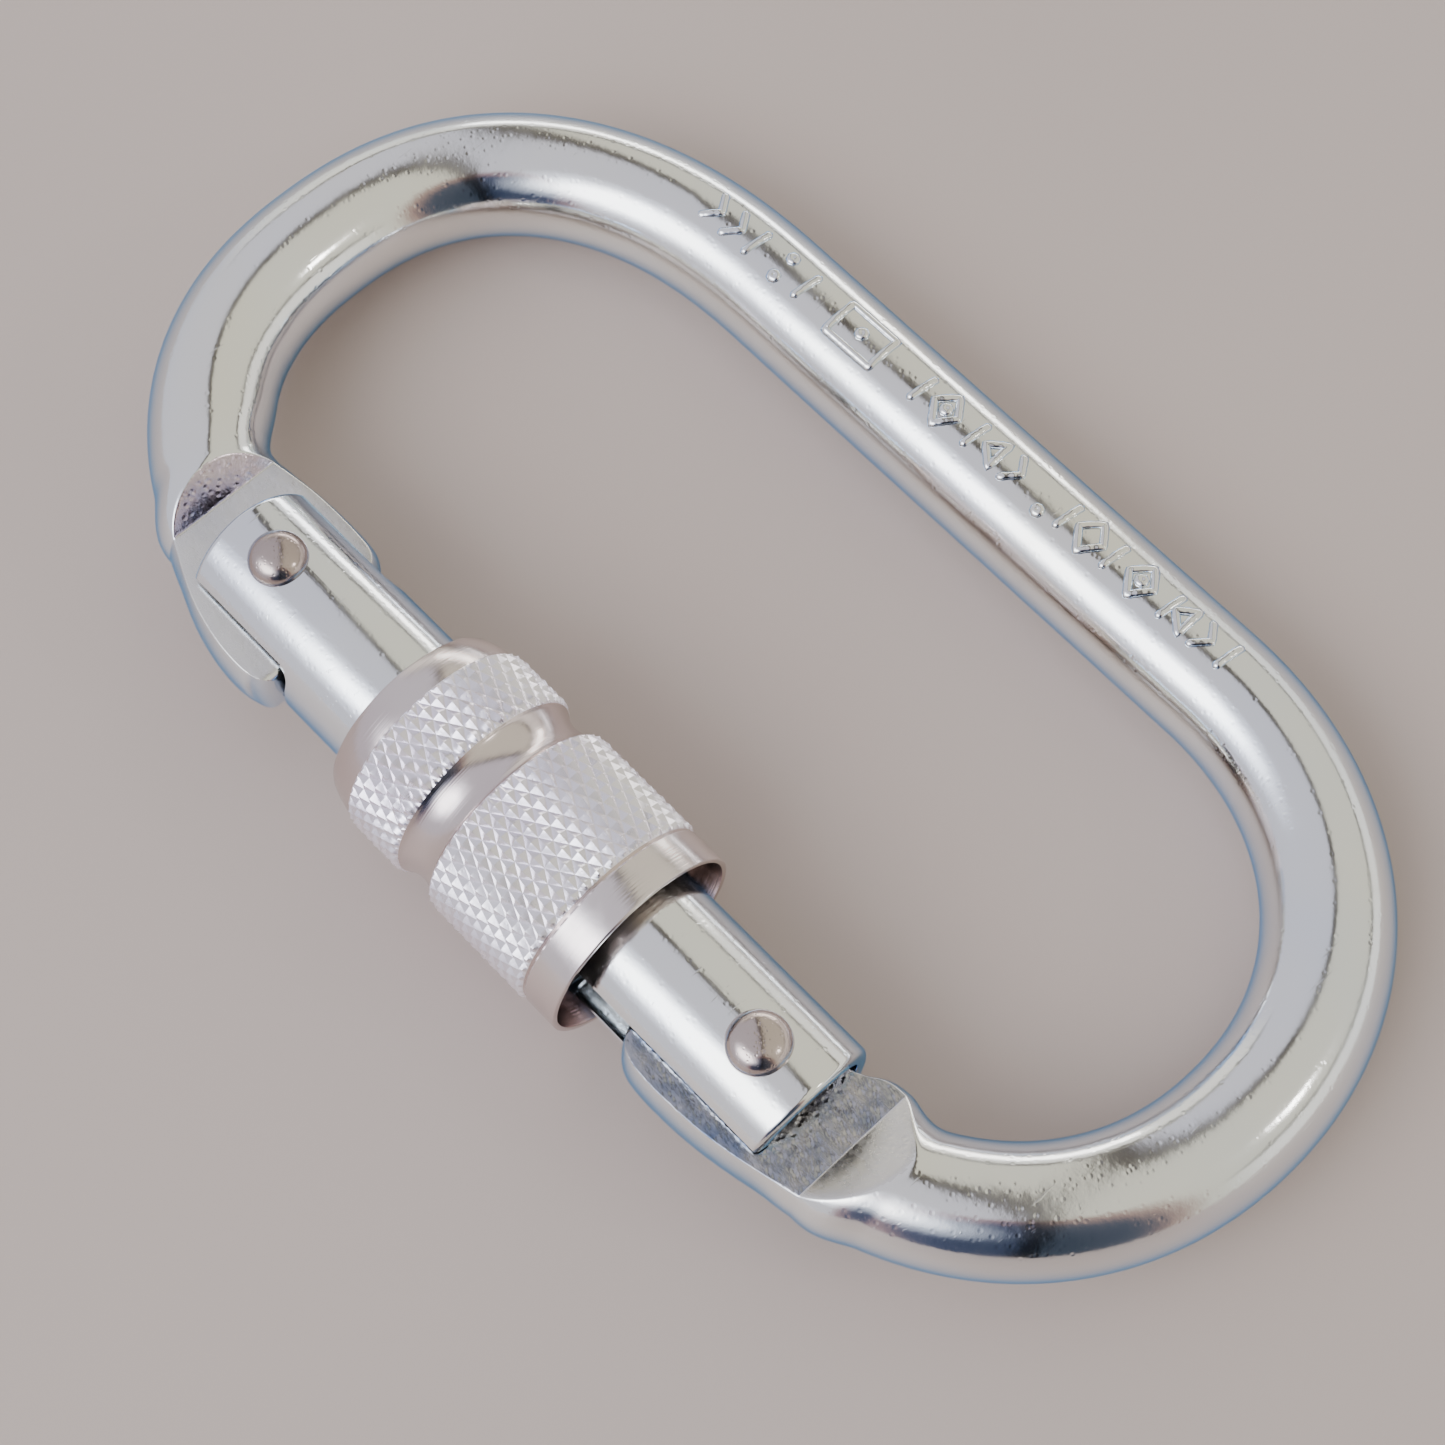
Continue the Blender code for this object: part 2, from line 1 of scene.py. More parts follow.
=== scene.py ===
"""Looks of the locking carabiner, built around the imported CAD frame.

Metres, +Z up, in the row frame: X from the hinge end to the latch end, Y from the
gate to the spine.  Outlines below are in millimetres and are drawn from the oval's
long axis, which lies DRAWING_Y above the row frame's X axis.
"""
import json
import math
import random

import bmesh
import bpy
import numpy as np
from mathutils import Matrix, Vector


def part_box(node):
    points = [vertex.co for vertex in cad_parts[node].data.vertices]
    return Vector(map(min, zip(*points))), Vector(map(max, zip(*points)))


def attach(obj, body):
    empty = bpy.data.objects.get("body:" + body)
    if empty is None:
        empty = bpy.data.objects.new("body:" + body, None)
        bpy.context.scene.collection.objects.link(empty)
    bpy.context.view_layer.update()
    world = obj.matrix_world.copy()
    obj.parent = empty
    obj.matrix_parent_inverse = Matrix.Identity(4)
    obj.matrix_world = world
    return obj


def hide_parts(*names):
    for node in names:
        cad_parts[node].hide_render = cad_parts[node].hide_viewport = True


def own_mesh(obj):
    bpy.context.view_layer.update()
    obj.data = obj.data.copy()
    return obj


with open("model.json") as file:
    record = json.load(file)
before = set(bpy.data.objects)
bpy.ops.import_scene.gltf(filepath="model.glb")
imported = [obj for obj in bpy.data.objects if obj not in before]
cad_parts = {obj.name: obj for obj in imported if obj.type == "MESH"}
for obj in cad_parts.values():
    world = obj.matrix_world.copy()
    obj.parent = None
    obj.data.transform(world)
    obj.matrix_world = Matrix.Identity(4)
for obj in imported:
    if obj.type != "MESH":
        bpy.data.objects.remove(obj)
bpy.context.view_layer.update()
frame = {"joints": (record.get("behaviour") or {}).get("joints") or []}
random.seed(7)

MM = 0.001
JOINTS = {joint["name"]: joint for joint in frame["joints"]}

# places read from the frame
HINGE_X, HINGE_Y = JOINTS["gate_hinge"]["pos_m"][:2]
GATE_Y = JOINTS["sleeve_turn"]["pos_m"][1]
SLEEVE_LOW, SLEEVE_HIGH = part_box("locking_sleeve")
LATCH_LOW, LATCH_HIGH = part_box("latch_rivet")
LATCH_X = (LATCH_LOW.x + LATCH_HIGH.x) / 2
RIVET_DRAWN_Y = -22.5 * MM
DRAWING_Y = HINGE_Y - RIVET_DRAWN_Y

# frame: one bent rod with two pressed tangs
LENGTH = 110.96 * MM
ROD_RADIUS = 4.98 * MM
HALF_WIDTH_CENTRE = 23.85 * MM
BENDS = {-1: (28.6 * MM, 2.28), 1: (25.0 * MM, 2.1)}
ROD_STEP = 0.9 * MM
BEND_FINE = 1200                        # points along a bend before they are evened out
PRESS_ROUND = 0.22 * MM
SIDE_STEPS, EDGE_STEPS, FLAT_STEPS = 26, 6, 8
TANG_HALF = 2.5 * MM
TANG_BULGE = 6.4 * MM
TANG_EDGE = 0.7 * MM
TANG_STEPS = 56
RAMP_STEPS = 22
HINGE_SHOULDER_X = -36.3 * MM
HINGE_SHOULDER_RUN = 2.2 * MM
HINGE_TIP_X = -22.1 * MM
LATCH_SHOULDER_X = 33.2 * MM
LATCH_SHOULDER_RUN = 4.2 * MM
LATCH_TIP_X = 15.8 * MM
SWING = 12.0 * MM                       # run of rod over which the rings turn square to it
SHOULDER_RISE = 2.5 * MM
PLAIN_ROD = 6.0 * MM
HINGE_OUTER = [
    (-22.1, -27.8), (-22.2, -28.8), (-23.2, -29.5), (-25.0, -29.7), (-28.0, -29.5),
    (-32.0, -28.5), (-36.3, -26.4),
]
HINGE_INNER = [
    (-22.1, -27.0), (-22.4, -26.3), (-23.5, -25.8), (-23.7, -25.4), (-23.75, -20.0),
    (-24.0, -17.5), (-24.9, -16.1), (-27.0, -15.8), (-32.0, -15.8), (-36.3, -16.5),
]
LATCH_OUTER = [
    (15.8, -25.6), (15.9, -27.8), (17.4, -29.3), (20.5, -29.5), (24.5, -29.3),
    (28.7, -28.6), (33.2, -27.4),
]
LATCH_INNER = [
    (15.8, -23.4), (16.0, -20.6), (17.6, -18.9), (20.5, -18.5), (28.7, -18.5),
    (30.2, -17.9), (31.4, -16.9), (33.2, -16.8),
]
HINGE_HOLE = 1.9 * MM
NOTCH_RADIUS = 2.0 * MM
MARK_FLAT = 4.92 * MM                   # height of the flat that carries the raised marks
MARK_FLAT_X = (-31.0 * MM, 27.8 * MM)
MARK_RUN_OUT = 2.5 * MM

# gate
GATE_RADIUS = 6.15 * MM
GATE_BORE = 4.9 * MM
GATE_HINGE_X = -32.9 * MM
GATE_LATCH_X = 29.4 * MM
GATE_CROWN = 0.5 * MM
GATE_OUTER_ROUND = 0.5 * MM
GATE_INNER_ROUND = 0.25 * MM
GATE_SIDES = 128
THREAD_X = (-12.9 * MM, 8.2 * MM)
THREAD_PITCH = 2.0 * MM
THREAD_DEPTH = 0.32 * MM
THREAD_FADE = 0.8 * MM
HINGE_SLOT_HALF, HINGE_SLOT_X = 3.0 * MM, -21.3 * MM
LATCH_SLOT_HALF, LATCH_SLOT_X = 2.75 * MM, 9.0 * MM
SLOT_CORNER = 1.1 * MM
SLOT_CHAMFER = 0.16 * MM
RIVET_HOLE = 1.66 * MM

# rivets
RIVET_SHANK = 1.6 * MM
HINGE_HEAD = 2.35 * MM
LATCH_HEAD = 2.5 * MM
HEAD_FOOT_Z = 5.2 * MM
HEAD_WAIST_Z = 5.75 * MM
HEAD_TOP_Z = 7.45 * MM

# sleeve
SLEEVE_RADIUS = 8.88 * MM
KNURL_DEPTH = 0.36 * MM
KNURL_STARTS = 44
KNURL_PITCH = 1.95 * MM
KNURL_TOP = 0.92                        # share of a sharp diamond left by the knurling wheel
KNURL_FINE = 4                          # mesh steps in half a knurl
BAND_ONE = (-11.1 * MM, -5.6 * MM)
BAND_TWO = (-2.1 * MM, 8.1 * MM)
SLEEVE_BORE = 6.45 * MM
BORE_ROWS = 130
SLEEVE_RIM = 8.65 * MM
COUNTERBORE = 8.2 * MM
COUNTERBORE_DEPTH = 5.0 * MM
SLEEVE_COLLAR = 7.5 * MM
SLEEVE_GROOVE = 7.9 * MM
RING_SEAT_X = -9.4 * MM
RING_SEAT_HALF = 1.0 * MM
RING_SEAT_RADIUS = 7.3 * MM

# inside pieces
RING_INNER = 6.3 * MM
PIN_SHANK = 1.6 * MM
PIN_HEAD_DEPTH = 1.5 * MM
PLUG_SPIGOT = 4.0 * MM
WIRE_RADIUS = 0.4 * MM
COIL_RADIUS = 2.5 * MM
COIL_TURNS = 9
DEAD_TURNS = 0.9                        # closed turns at each end of the coil
COIL_FINE = 48
WIRE_SIDES = 12

# camera, at the photograph's angle; the turn is in degrees
LENS = 75.18
CAMERA_PLACE = (0.067579, -0.071748, 0.207389)
CAMERA_TURN = (24.261, -1.1157, 46.4625)

# light: headings are seen from the object, sizes in metres
SEAM_FACING = (0.60, 0.80, -0.11)
DARK_CORNER = (0.76, -0.56, 0.30)
DARK_STRETCH = (1.0, 1.0, 0.6)
WINDOW_AT = (-0.05, -0.76, 0.62)
WINDOW_STRETCH = (0.6, 1.0, 1.0)
WINDOW_STRENGTH = 5.4
ROOM_STRENGTH = 1.25
LIGHT_DISTANCE = 1.2
FLOOR_REACH = 30.0                      # keeps the floor's edge near the horizon
SOFT_BOXES = [
    ("low_box", (-0.55, 0.80, 0.16), (0.9, 0.16), 4.0, (1.0, 0.98, 0.94)),
    ("small_box", (0.69, 0.39, 0.62), (0.12, 0.12), 12.0, (1.0, 0.98, 0.95)),
]


# ---------------------------------------------------------------- camera and stage

def add_camera():
    data = bpy.data.cameras.new("camera")
    data.sensor_width = 36.0
    data.lens = LENS
    data.clip_start = 0.001
    camera = bpy.data.objects.new("camera", data)
    camera.location = CAMERA_PLACE
    camera.rotation_euler = [math.radians(a) for a in CAMERA_TURN]
    bpy.context.scene.collection.objects.link(camera)
    bpy.context.scene.camera = camera


def aim(item, target):
    item.rotation_euler = (Vector(target) - item.location).to_track_quat("-Z", "Y").to_euler()


def soft_box(name, place, target, size, radiance, colour):
    data = bpy.data.lights.new(name, "AREA")
    data.shape = "RECTANGLE"
    data.size, data.size_y = size
    data.energy = radiance * math.pi * size[0] * size[1]
    data.color = colour
    lamp = bpy.data.objects.new(name, data)
    lamp.location = place
    bpy.context.scene.collection.objects.link(lamp)
    aim(lamp, target)
    return lamp


# ---------------------------------------------------------------- materials

class Nodes:
    """A material's node tree with short calls for the nodes that are used here."""

    def __init__(self, name):
        self.material = bpy.data.materials.new(name)
        self.material.use_nodes = True
        self.tree = self.material.node_tree
        self.shader = self.tree.nodes["Principled BSDF"]
        self.place = self.add("ShaderNodeTexCoord").outputs["Object"]

    def add(self, kind, **values):
        node = self.tree.nodes.new(kind)
        for key, value in values.items():
            setattr(node, key, value)
        return node

    def link(self, source, target):
        self.tree.links.new(source, target)

    def set(self, **values):
        for key, value in values.items():
            self.shader.inputs[key.replace("_", " ")].default_value = value

    def stretched(self, scale, turn=(0.0, 0.0, 0.0)):
        node = self.add("ShaderNodeMapping")
        node.inputs["Scale"].default_value = scale
        node.inputs["Rotation"].default_value = turn
        self.link(self.place, node.inputs["Vector"])
        return node.outputs["Vector"]

    def noise(self, scale, detail=3.0, rough=0.5, vector=None):
        node = self.add("ShaderNodeTexNoise")
        node.inputs["Scale"].default_value = scale
        node.inputs["Detail"].default_value = detail
        node.inputs["Roughness"].default_value = rough
        self.link(vector or self.place, node.inputs["Vector"])
        return node.outputs["Fac"]

    def cells(self, scale, vector=None):
        node = self.add("ShaderNodeTexVoronoi")
        node.inputs["Scale"].default_value = scale
        self.link(vector or self.place, node.inputs["Vector"])
        return node.outputs["Distance"]

    def ramp(self, source, stops):
        node = self.add("ShaderNodeValToRGB")
        ramp = node.color_ramp
        while len(ramp.elements) < len(stops):
            ramp.elements.new(0.5)
        for element, (position, colour) in zip(ramp.elements, stops):
            element.position = position
            element.color = (*colour, 1.0)
        self.link(source, node.inputs["Fac"])
        return node.outputs["Color"]

    def spread(self, source, low, high, from_low=0.3, from_high=0.7):
        node = self.add("ShaderNodeMapRange")
        node.inputs["From Min"].default_value = from_low
        node.inputs["From Max"].default_value = from_high
        node.inputs["To Min"].default_value = low
        node.inputs["To Max"].default_value = high
        self.link(source, node.inputs["Value"])
        return node.outputs["Result"]

    def math(self, operation, a, b):
        node = self.add("ShaderNodeMath", operation=operation)
        for socket, value in zip(node.inputs, (a, b)):
            if isinstance(value, (int, float)):
                socket.default_value = value
            else:
                self.link(value, socket)
        return node.outputs["Value"]

    def bump(self, height, strength, distance, below=None):
        node = self.add("ShaderNodeBump")
        node.inputs["Strength"].default_value = strength
        node.inputs["Distance"].default_value = distance
        self.link(height, node.inputs["Height"])
        if below is not None:
            self.link(below, node.inputs["Normal"])
        return node.outputs["Normal"]

    def scratches(self, fine, long, turn, keep):
        """Thin straight marks: stretched noise of which only the peaks are kept."""
        field = self.noise(1.0, 2.0, 0.5, self.stretched((fine, long, fine), turn))
        return self.spread(field, 0.0, 1.0, keep, keep + 0.03)


def plated(name, tints, rough, pits, scuffs, edge, grain=1.0):
    """Bright plating: drifting tint, fine pits, and fine scratches lying several ways."""
    n = Nodes(name)
    # edge is the specular tint; the blue one paints a blue reflection onto grazing edges
    n.set(Metallic=1.0, Specular_Tint=edge)
    drift = n.noise(45.0 * grain, 2.0, 0.55)
    colour = n.ramp(drift, [(0.30, tints[0]), (0.5, tints[1]), (0.70, tints[2])])
    n.link(colour, n.shader.inputs["Base Color"])
    peel = n.noise(520.0 * grain, 4.0, 0.6)
    dots = n.spread(n.cells(1500.0 * grain), 0.0, 1.0, 0.0, 0.32)
    lines = n.math("MAXIMUM", n.scratches(2600, 90, (0.3, 0.2, 0.9), 0.70),
                   n.scratches(2300, 120, (0.1, 0.5, -0.6), 0.71))
    level = n.spread(n.noise(170.0 * grain, 3.0, 0.6), rough[0], rough[1], 0.32, 0.68)
    level = n.math("ADD", level, n.math("MULTIPLY", lines, scuffs * 0.25))
    n.link(level, n.shader.inputs["Roughness"])
    normal = n.bump(peel, 0.08, 0.0002)
    normal = n.bump(dots, pits, 0.00006, normal)
    normal = n.bump(lines, scuffs, 0.00004, normal)
    n.link(normal, n.shader.inputs["Normal"])
    return n.material


def pressed_face(name, tints, rough, coarse):
    """A die-pressed flat: mottled tint, small pits and a faint drawn grain."""
    n = Nodes(name)
    n.set(Metallic=1.0)
    colour = n.ramp(n.noise(190.0, 4.0, 0.65), [(0.30, tints[0]), (0.5, tints[1]), (0.7, tints[2])])
    n.link(colour, n.shader.inputs["Base Color"])
    streak = n.noise(1.0, 3.0, 0.6, n.stretched((700, 1500, 700), (0.0, 0.0, 0.8)))
    chips = n.spread(n.cells(1700.0), 0.0, 1.0, 0.0, 0.45)
    n.link(n.spread(streak, rough[0], rough[1], 0.3, 0.7), n.shader.inputs["Roughness"])
    normal = n.bump(chips, coarse, 0.00006)
    normal = n.bump(streak, coarse, 0.0001, normal)
    n.link(normal, n.shader.inputs["Normal"])
    return n.material


def turned_face(name, tints, rough, lines_per_m, depth):
    """Lathe-turned metal: fine rings round the X axis with a light tint drift."""
    n = Nodes(name)
    n.set(Metallic=1.0)
    colour = n.ramp(n.noise(60.0, 2.0, 0.5), [(0.3, tints[0]), (0.5, tints[1]), (0.7, tints[2])])
    n.link(colour, n.shader.inputs["Base Color"])
    rings = n.noise(1.0, 2.0, 0.5, n.stretched((lines_per_m, 12, 12)))
    dust = n.noise(900.0, 3.0, 0.6)
    n.link(n.spread(dust, rough[0], rough[1], 0.3, 0.7), n.shader.inputs["Roughness"])
    normal = n.bump(rings, depth, 0.00005)
    normal = n.bump(dust, 0.06, 0.0001, normal)
    n.link(normal, n.shader.inputs["Normal"])
    return n.material


def rubber(name):
    n = Nodes(name)
    n.set(Metallic=0.0)
    colour = n.ramp(n.noise(700.0, 3.0, 0.6), [(0.3, (0.012,) * 3), (0.7, (0.03,) * 3)])
    n.link(colour, n.shader.inputs["Base Color"])
    n.link(n.spread(n.noise(1500.0, 3.0), 0.55, 0.8), n.shader.inputs["Roughness"])
    n.link(n.bump(n.noise(4000.0, 3.0), 0.3, 0.00005), n.shader.inputs["Normal"])
    return n.material


def floor_material():
    n = Nodes("floor_pale")
    n.set(Metallic=0.0)
    colour = n.ramp(n.noise(3.0, 3.0, 0.5), [(0.3, (0.52, 0.43, 0.385)), (0.7, (0.58, 0.485, 0.435))])
    n.link(colour, n.shader.inputs["Base Color"])
    n.set(Roughness=0.42)
    return n.material


# ---------------------------------------------------------------- mesh helpers

def add_piece(name, bm, materials, body, stands_for, angle=30.0):
    """Link a finished mesh, shade it, and say what it rides on and stands for."""
    bmesh.ops.recalc_face_normals(bm, faces=bm.faces)
    mesh = bpy.data.meshes.new(name)
    bm.to_mesh(mesh)
    bm.free()
    piece = bpy.data.objects.new(name, mesh)
    bpy.context.scene.collection.objects.link(piece)
    for look in materials:
        mesh.materials.append(look)
    mesh.shade_smooth()
    mesh.set_sharp_from_angle(angle=math.radians(angle))
    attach(piece, body)
    if stands_for:
        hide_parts(*stands_for)
    return piece


def scratch_object(name, bm):
    bmesh.ops.recalc_face_normals(bm, faces=bm.faces)
    mesh = bpy.data.meshes.new(name)
    bm.to_mesh(mesh)
    bm.free()
    item = bpy.data.objects.new(name, mesh)
    bpy.context.scene.collection.objects.link(item)
    return item


def carve(bm, cutters):
    """The mesh with each cutter taken out of it; the cutters are used up."""
    target = scratch_object("carving", bm)
    for cutter in cutters:
        item = scratch_object("cutter", cutter)
        step = target.modifiers.new("cut", "BOOLEAN")
        step.operation = "DIFFERENCE"
        step.solver = "EXACT"
        step.object = item
        bpy.context.view_layer.update()
        graph = bpy.context.evaluated_depsgraph_get()
        result = bpy.data.meshes.new_from_object(target.evaluated_get(graph))
        target.modifiers.clear()
        target.data = result
        bpy.data.objects.remove(item, do_unlink=True)
    cut = bmesh.new()
    cut.from_mesh(target.data)
    bpy.data.objects.remove(target, do_unlink=True)
    bmesh.ops.dissolve_degenerate(cut, edges=cut.edges, dist=1e-7)
    return cut


def box_mesh(low, high):
    bm = bmesh.new()
    bmesh.ops.create_cube(bm, size=1.0)
    size = Vector(high) - Vector(low)
    centre = (Vector(high) + Vector(low)) / 2
    place = Matrix.Translation(centre) @ Matrix.Diagonal((*size, 1.0))
    bmesh.ops.transform(bm, matrix=place, verts=bm.verts)
    return bm


def cylinder_mesh(radius, x, y, low_z, high_z, sides=48):
    bm = bmesh.new()
    bmesh.ops.create_cone(
        bm, cap_ends=True, segments=sides, radius1=radius, radius2=radius, depth=high_z - low_z,
    )
    bmesh.ops.translate(bm, vec=(x, y, (low_z + high_z) / 2), verts=bm.verts)
    return bm


def ring_skin(rings, wrap):
    """Quads over rings of equal length; wrap joins the last ring to the first."""
    bm = bmesh.new()
    loops = [[bm.verts.new(p) for p in ring] for ring in rings]
    count = len(loops[0])
    pairs = list(zip(loops, loops[1:] + loops[:1])) if wrap else list(zip(loops, loops[1:]))
    for a, b in pairs:
        for i in range(count):
            j = (i + 1) % count
            bm.faces.new((a[i], a[j], b[j], b[i]))
    if not wrap:
        bm.faces.new(loops[0])
        bm.faces.new(loops[-1])
    return bm


def arc(centre, radius, start, end, steps):
    """Points of a circle arc in the (x, r) plane of a turned profile, angles in degrees."""
    points = []
    for i in range(steps + 1):
        angle = math.radians(start + (end - start) * i / steps)
        points.append((centre[0] + radius * math.cos(angle), centre[1] + radius * math.sin(angle)))
    return points


def turned_x(profile, sides, relief=None):
    """A closed (x, r) profile turned about the gate's axis; relief(x, turn) is added to r."""
    rings = []
    for x, r in profile:
        ring = []
        for i in range(sides):
            turn = 2 * math.pi * i / sides
            radius = r + (relief(x, r, turn) if relief else 0.0)
            ring.append(Vector((x, GATE_Y + radius * math.cos(turn), radius * math.sin(turn))))
        rings.append(ring)
    return ring_skin(rings, True)


def spun_z(profile, x, y, sides):
    """An open (z, r) profile from pole to pole, spun about a vertical axis."""
    bm = bmesh.new()
    line = [bm.verts.new((x + r, y, z)) for z, r in profile]
    edges = [bm.edges.new(pair) for pair in zip(line, line[1:])]
    bmesh.ops.spin(
        bm, geom=line + edges, cent=(x, y, 0), axis=(0, 0, 1), angle=2 * math.pi,
        steps=sides, use_merge=True,
    )
    bmesh.ops.remove_doubles(bm, verts=bm.verts, dist=1e-7)
    return bm


def smoothstep(value):
    value = min(max(value, 0.0), 1.0)
    return value * value * (3.0 - 2.0 * value)


# ---------------------------------------------------------------- frame

def bend_centre(x, side):
    reach, power = BENDS[side]
    middle = side * (LENGTH / 2 - ROD_RADIUS - reach)
    share = min(abs(x - middle) / reach, 1.0)
    return -HALF_WIDTH_CENTRE * (1 - share ** power) ** (1 / power)


def bend_path(side, start_x):
    reach, power = BENDS[side]
    middle = side * (LENGTH / 2 - ROD_RADIUS - reach)
    places = []
    for i in range(BEND_FINE + 1):
        angle = math.pi * i / BEND_FINE
        along = abs(math.sin(angle)) ** (2 / power)
        across = -math.copysign(abs(math.cos(angle)) ** (2 / power), math.cos(angle))
        place = Vector((middle + side * reach * along, HALF_WIDTH_CENTRE * across, 0.0))
        if place.y > 0 or side * place.x > side * start_x:
            places.append(place)
    places.insert(0, Vector((start_x, bend_centre(start_x, side), 0.0)))
    if side < 0:
        places.append(Vector((5.0 * MM, HALF_WIDTH_CENTRE, 0.0)))
    return places


def even_steps(places, step):
    total = sum((b - a).length for a, b in zip(places, places[1:]))
    step = total / max(round(total / step), 1)
    walked = [places[0]]
    left = step
    for a, b in zip(places, places[1:]):
        span = (b - a).length
        while span > left:
            a = a + (b - a) * (left / span)
            walked.append(a)
            span = (b - a).length
            left = step
        left -= span
    if (walked[-1] - places[-1]).length > step / 2:
        walked.append(places[-1])
    return walked


def rounded_line(points, passes=5):
    line = [Vector(p) for p in points]
    for _ in range(passes):
        cut = [line[0]]
        for a, b in zip(line, line[1:]):
            cut.append(a.lerp(b, 0.25))
            cut.append(a.lerp(b, 0.75))
        cut.append(line[-1])
        line = cut
    return sorted((p.x * MM, p.y * MM) for p in line)


def soft_clip(height, limit):
    """Height pressed down to a limit, with a small round where the press stops."""
    size = abs(height)
    if size <= limit - PRESS_ROUND:
        return height
    if size < limit + PRESS_ROUND:
        limit -= (limit + PRESS_ROUND - size) ** 2 / (4 * PRESS_ROUND)
    return math.copysign(limit, height)


def rod_bend(x, side):
    """Slope of the bend's centre line at x on the gate side, and its radius there."""
    step = 0.05 * MM
    before, here, after = (bend_centre(x + k * step, side) for k in (-1, 0, 1))
    slope = (after - before) / (2 * step)
    curl = (after - 2 * here + before) / step ** 2
    return slope, (1 + slope ** 2) ** 1.5 / max(abs(curl), 0.1)


def leaning_offset(radius, square, distance):
    """How far out a line crosses a bend's offset curve; square is 1 for a line square to it."""
    reach = radius * square
    return math.sqrt(reach ** 2 + 2 * radius * distance + distance ** 2) - reach


def section(centre, across, spread, half_height, top, bottom):
    """One ring of the frame: an oval pressed to top above and to bottom below.

    spread turns a share of the half width, from -1 to 1, into a distance along across.
    """
    angles = []
    for clip in (top, bottom):
        low = math.asin(min((clip - PRESS_ROUND) / half_height, math.sin(math.radians(66))))
        high = math.asin(min((clip + PRESS_ROUND) / half_height, math.sin(math.radians(78))))
        angles.append((low, high))
    (t_low, t_high), (b_low, b_high) = angles
    stops = [
        (0.0, t_low, SIDE_STEPS // 2), (t_low, t_high, EDGE_STEPS),
        (t_high, math.pi - t_high, FLAT_STEPS), (math.pi - t_high, math.pi - t_low, EDGE_STEPS),
        (math.pi - t_low, math.pi, SIDE_STEPS // 2), (math.pi, math.pi + b_low, SIDE_STEPS // 2),
        (math.pi + b_low, math.pi + b_high, EDGE_STEPS),
        (math.pi + b_high, 2 * math.pi - b_high, FLAT_STEPS),
        (2 * math.pi - b_high, 2 * math.pi - b_low, EDGE_STEPS),
        (2 * math.pi - b_low, 2 * math.pi, SIDE_STEPS // 2),
    ]
    ring = []
    for start, end, steps in stops:
        for i in range(steps):
            angle = start + (end - start) * i / steps
            z = half_height * math.sin(angle)
            z = soft_clip(z, top if z > 0 else bottom)
            ring.append(centre + across * spread(math.cos(angle)) + Vector((0, 0, z)))
    return ring


def press_height(past, run):
    """Half thickness left by the press, past the shoulder line by this much."""
    corner = 0.12 * MM
    rise = SHOULDER_RISE / run
    if past <= -corner:
        return TANG_HALF
    if past < corner:
        return TANG_HALF + rise * (past + corner) ** 2 / (4 * corner)
    return TANG_HALF + rise * past


def tang_rings(side, outer, inner, shoulder_x, run, tip_x):
    outer = rounded_line(outer)
    inner = rounded_line(inner)
    outer_x, outer_y = zip(*outer)
    inner_x, inner_y = zip(*inner)
    outward = Vector((0.0, -1.0, 0.0))
    length = abs(shoulder_x - tip_x)
    near = 0.3 * MM
    stations = []
    for i in range(TANG_STEPS):
        stations.append((length - near) * (1 - math.cos(math.pi / 2 * i / TANG_STEPS)))
    stations += [length - near + 2 * near * i / 8 for i in range(8)]
    stations += [length + near + (run - near) * i / RAMP_STEPS for i in range(RAMP_STEPS)]
    stations += [length + run + (PLAIN_ROD - run) * i / 8 for i in range(8)]
    rings = []
    for station in stations:
        x = tip_x + side * station
        past = station - length
        blend = smoothstep(past / (PLAIN_ROD - 1 * MM))
        y_out = float(np.interp(x, outer_x, outer_y))
        y_in = float(np.interp(x, inner_x, inner_y))
        height = ROD_RADIUS + (TANG_BULGE - ROD_RADIUS) * smoothstep(-past / (4 * MM))
        width = (y_in - y_out) / 2 / math.sqrt(1 - (TANG_HALF / height) ** 2)
        middle = (y_out + y_in) / 2
        slope, radius = rod_bend(x, side)
        square = 1 / math.hypot(1, slope)

        def spread(share):
            tang = width * share - middle
            if not blend:
                return tang
            rod = leaning_offset(radius, square, ROD_RADIUS * share) - bend_centre(x, side)
            return tang + (rod - tang) * blend

        clip = press_height(past, run)
        if station < TANG_EDGE:
            lost = (TANG_EDGE - station) / TANG_EDGE
            clip -= TANG_EDGE * (1 - math.sqrt(1 - lost ** 2))
        rings.append(section(Vector((x, 0.0, 0.0)), outward, spread, height, clip, clip))
    return rings


def mark_press(x):
    """Height of the rod's top where the band of raised marks is pressed flat."""
    low, high = MARK_FLAT_X
    inside = smoothstep((x - low) / MARK_RUN_OUT) * smoothstep((high - x) / MARK_RUN_OUT)
    return ROD_RADIUS + PRESS_ROUND - (ROD_RADIUS + PRESS_ROUND - MARK_FLAT) * inside


def rod_rings(places, side):
    """Rings of plain rod, swung from square to X round to square to the rod."""
    rings = []
    walked = 0.0
    for i, place in enumerate(places):
        if i:
            walked += (place - places[i - 1]).length
        if walked < SWING:
            slope, radius = rod_bend(place.x, side)
            along = Vector((1.0, slope, 0.0)).normalized()
        else:
            radius = LENGTH
            along = (places[min(i + 1, len(places) - 1)] - places[i - 1]).normalized() * side
        normal = Vector((along.y, -along.x, 0.0))
        turned = smoothstep(walked / SWING)
        across = (Vector((0.0, -1.0, 0.0)) * (1 - turned) + normal * turned).normalized()
        square = across.dot(normal)

        def spread(share):
            return leaning_offset(radius, square, ROD_RADIUS * share)

        top = mark_press(place.x) if place.y > 0 else ROD_RADIUS + PRESS_ROUND
        rings.append(section(place, across, spread, ROD_RADIUS, top, ROD_RADIUS + PRESS_ROUND))
    return rings


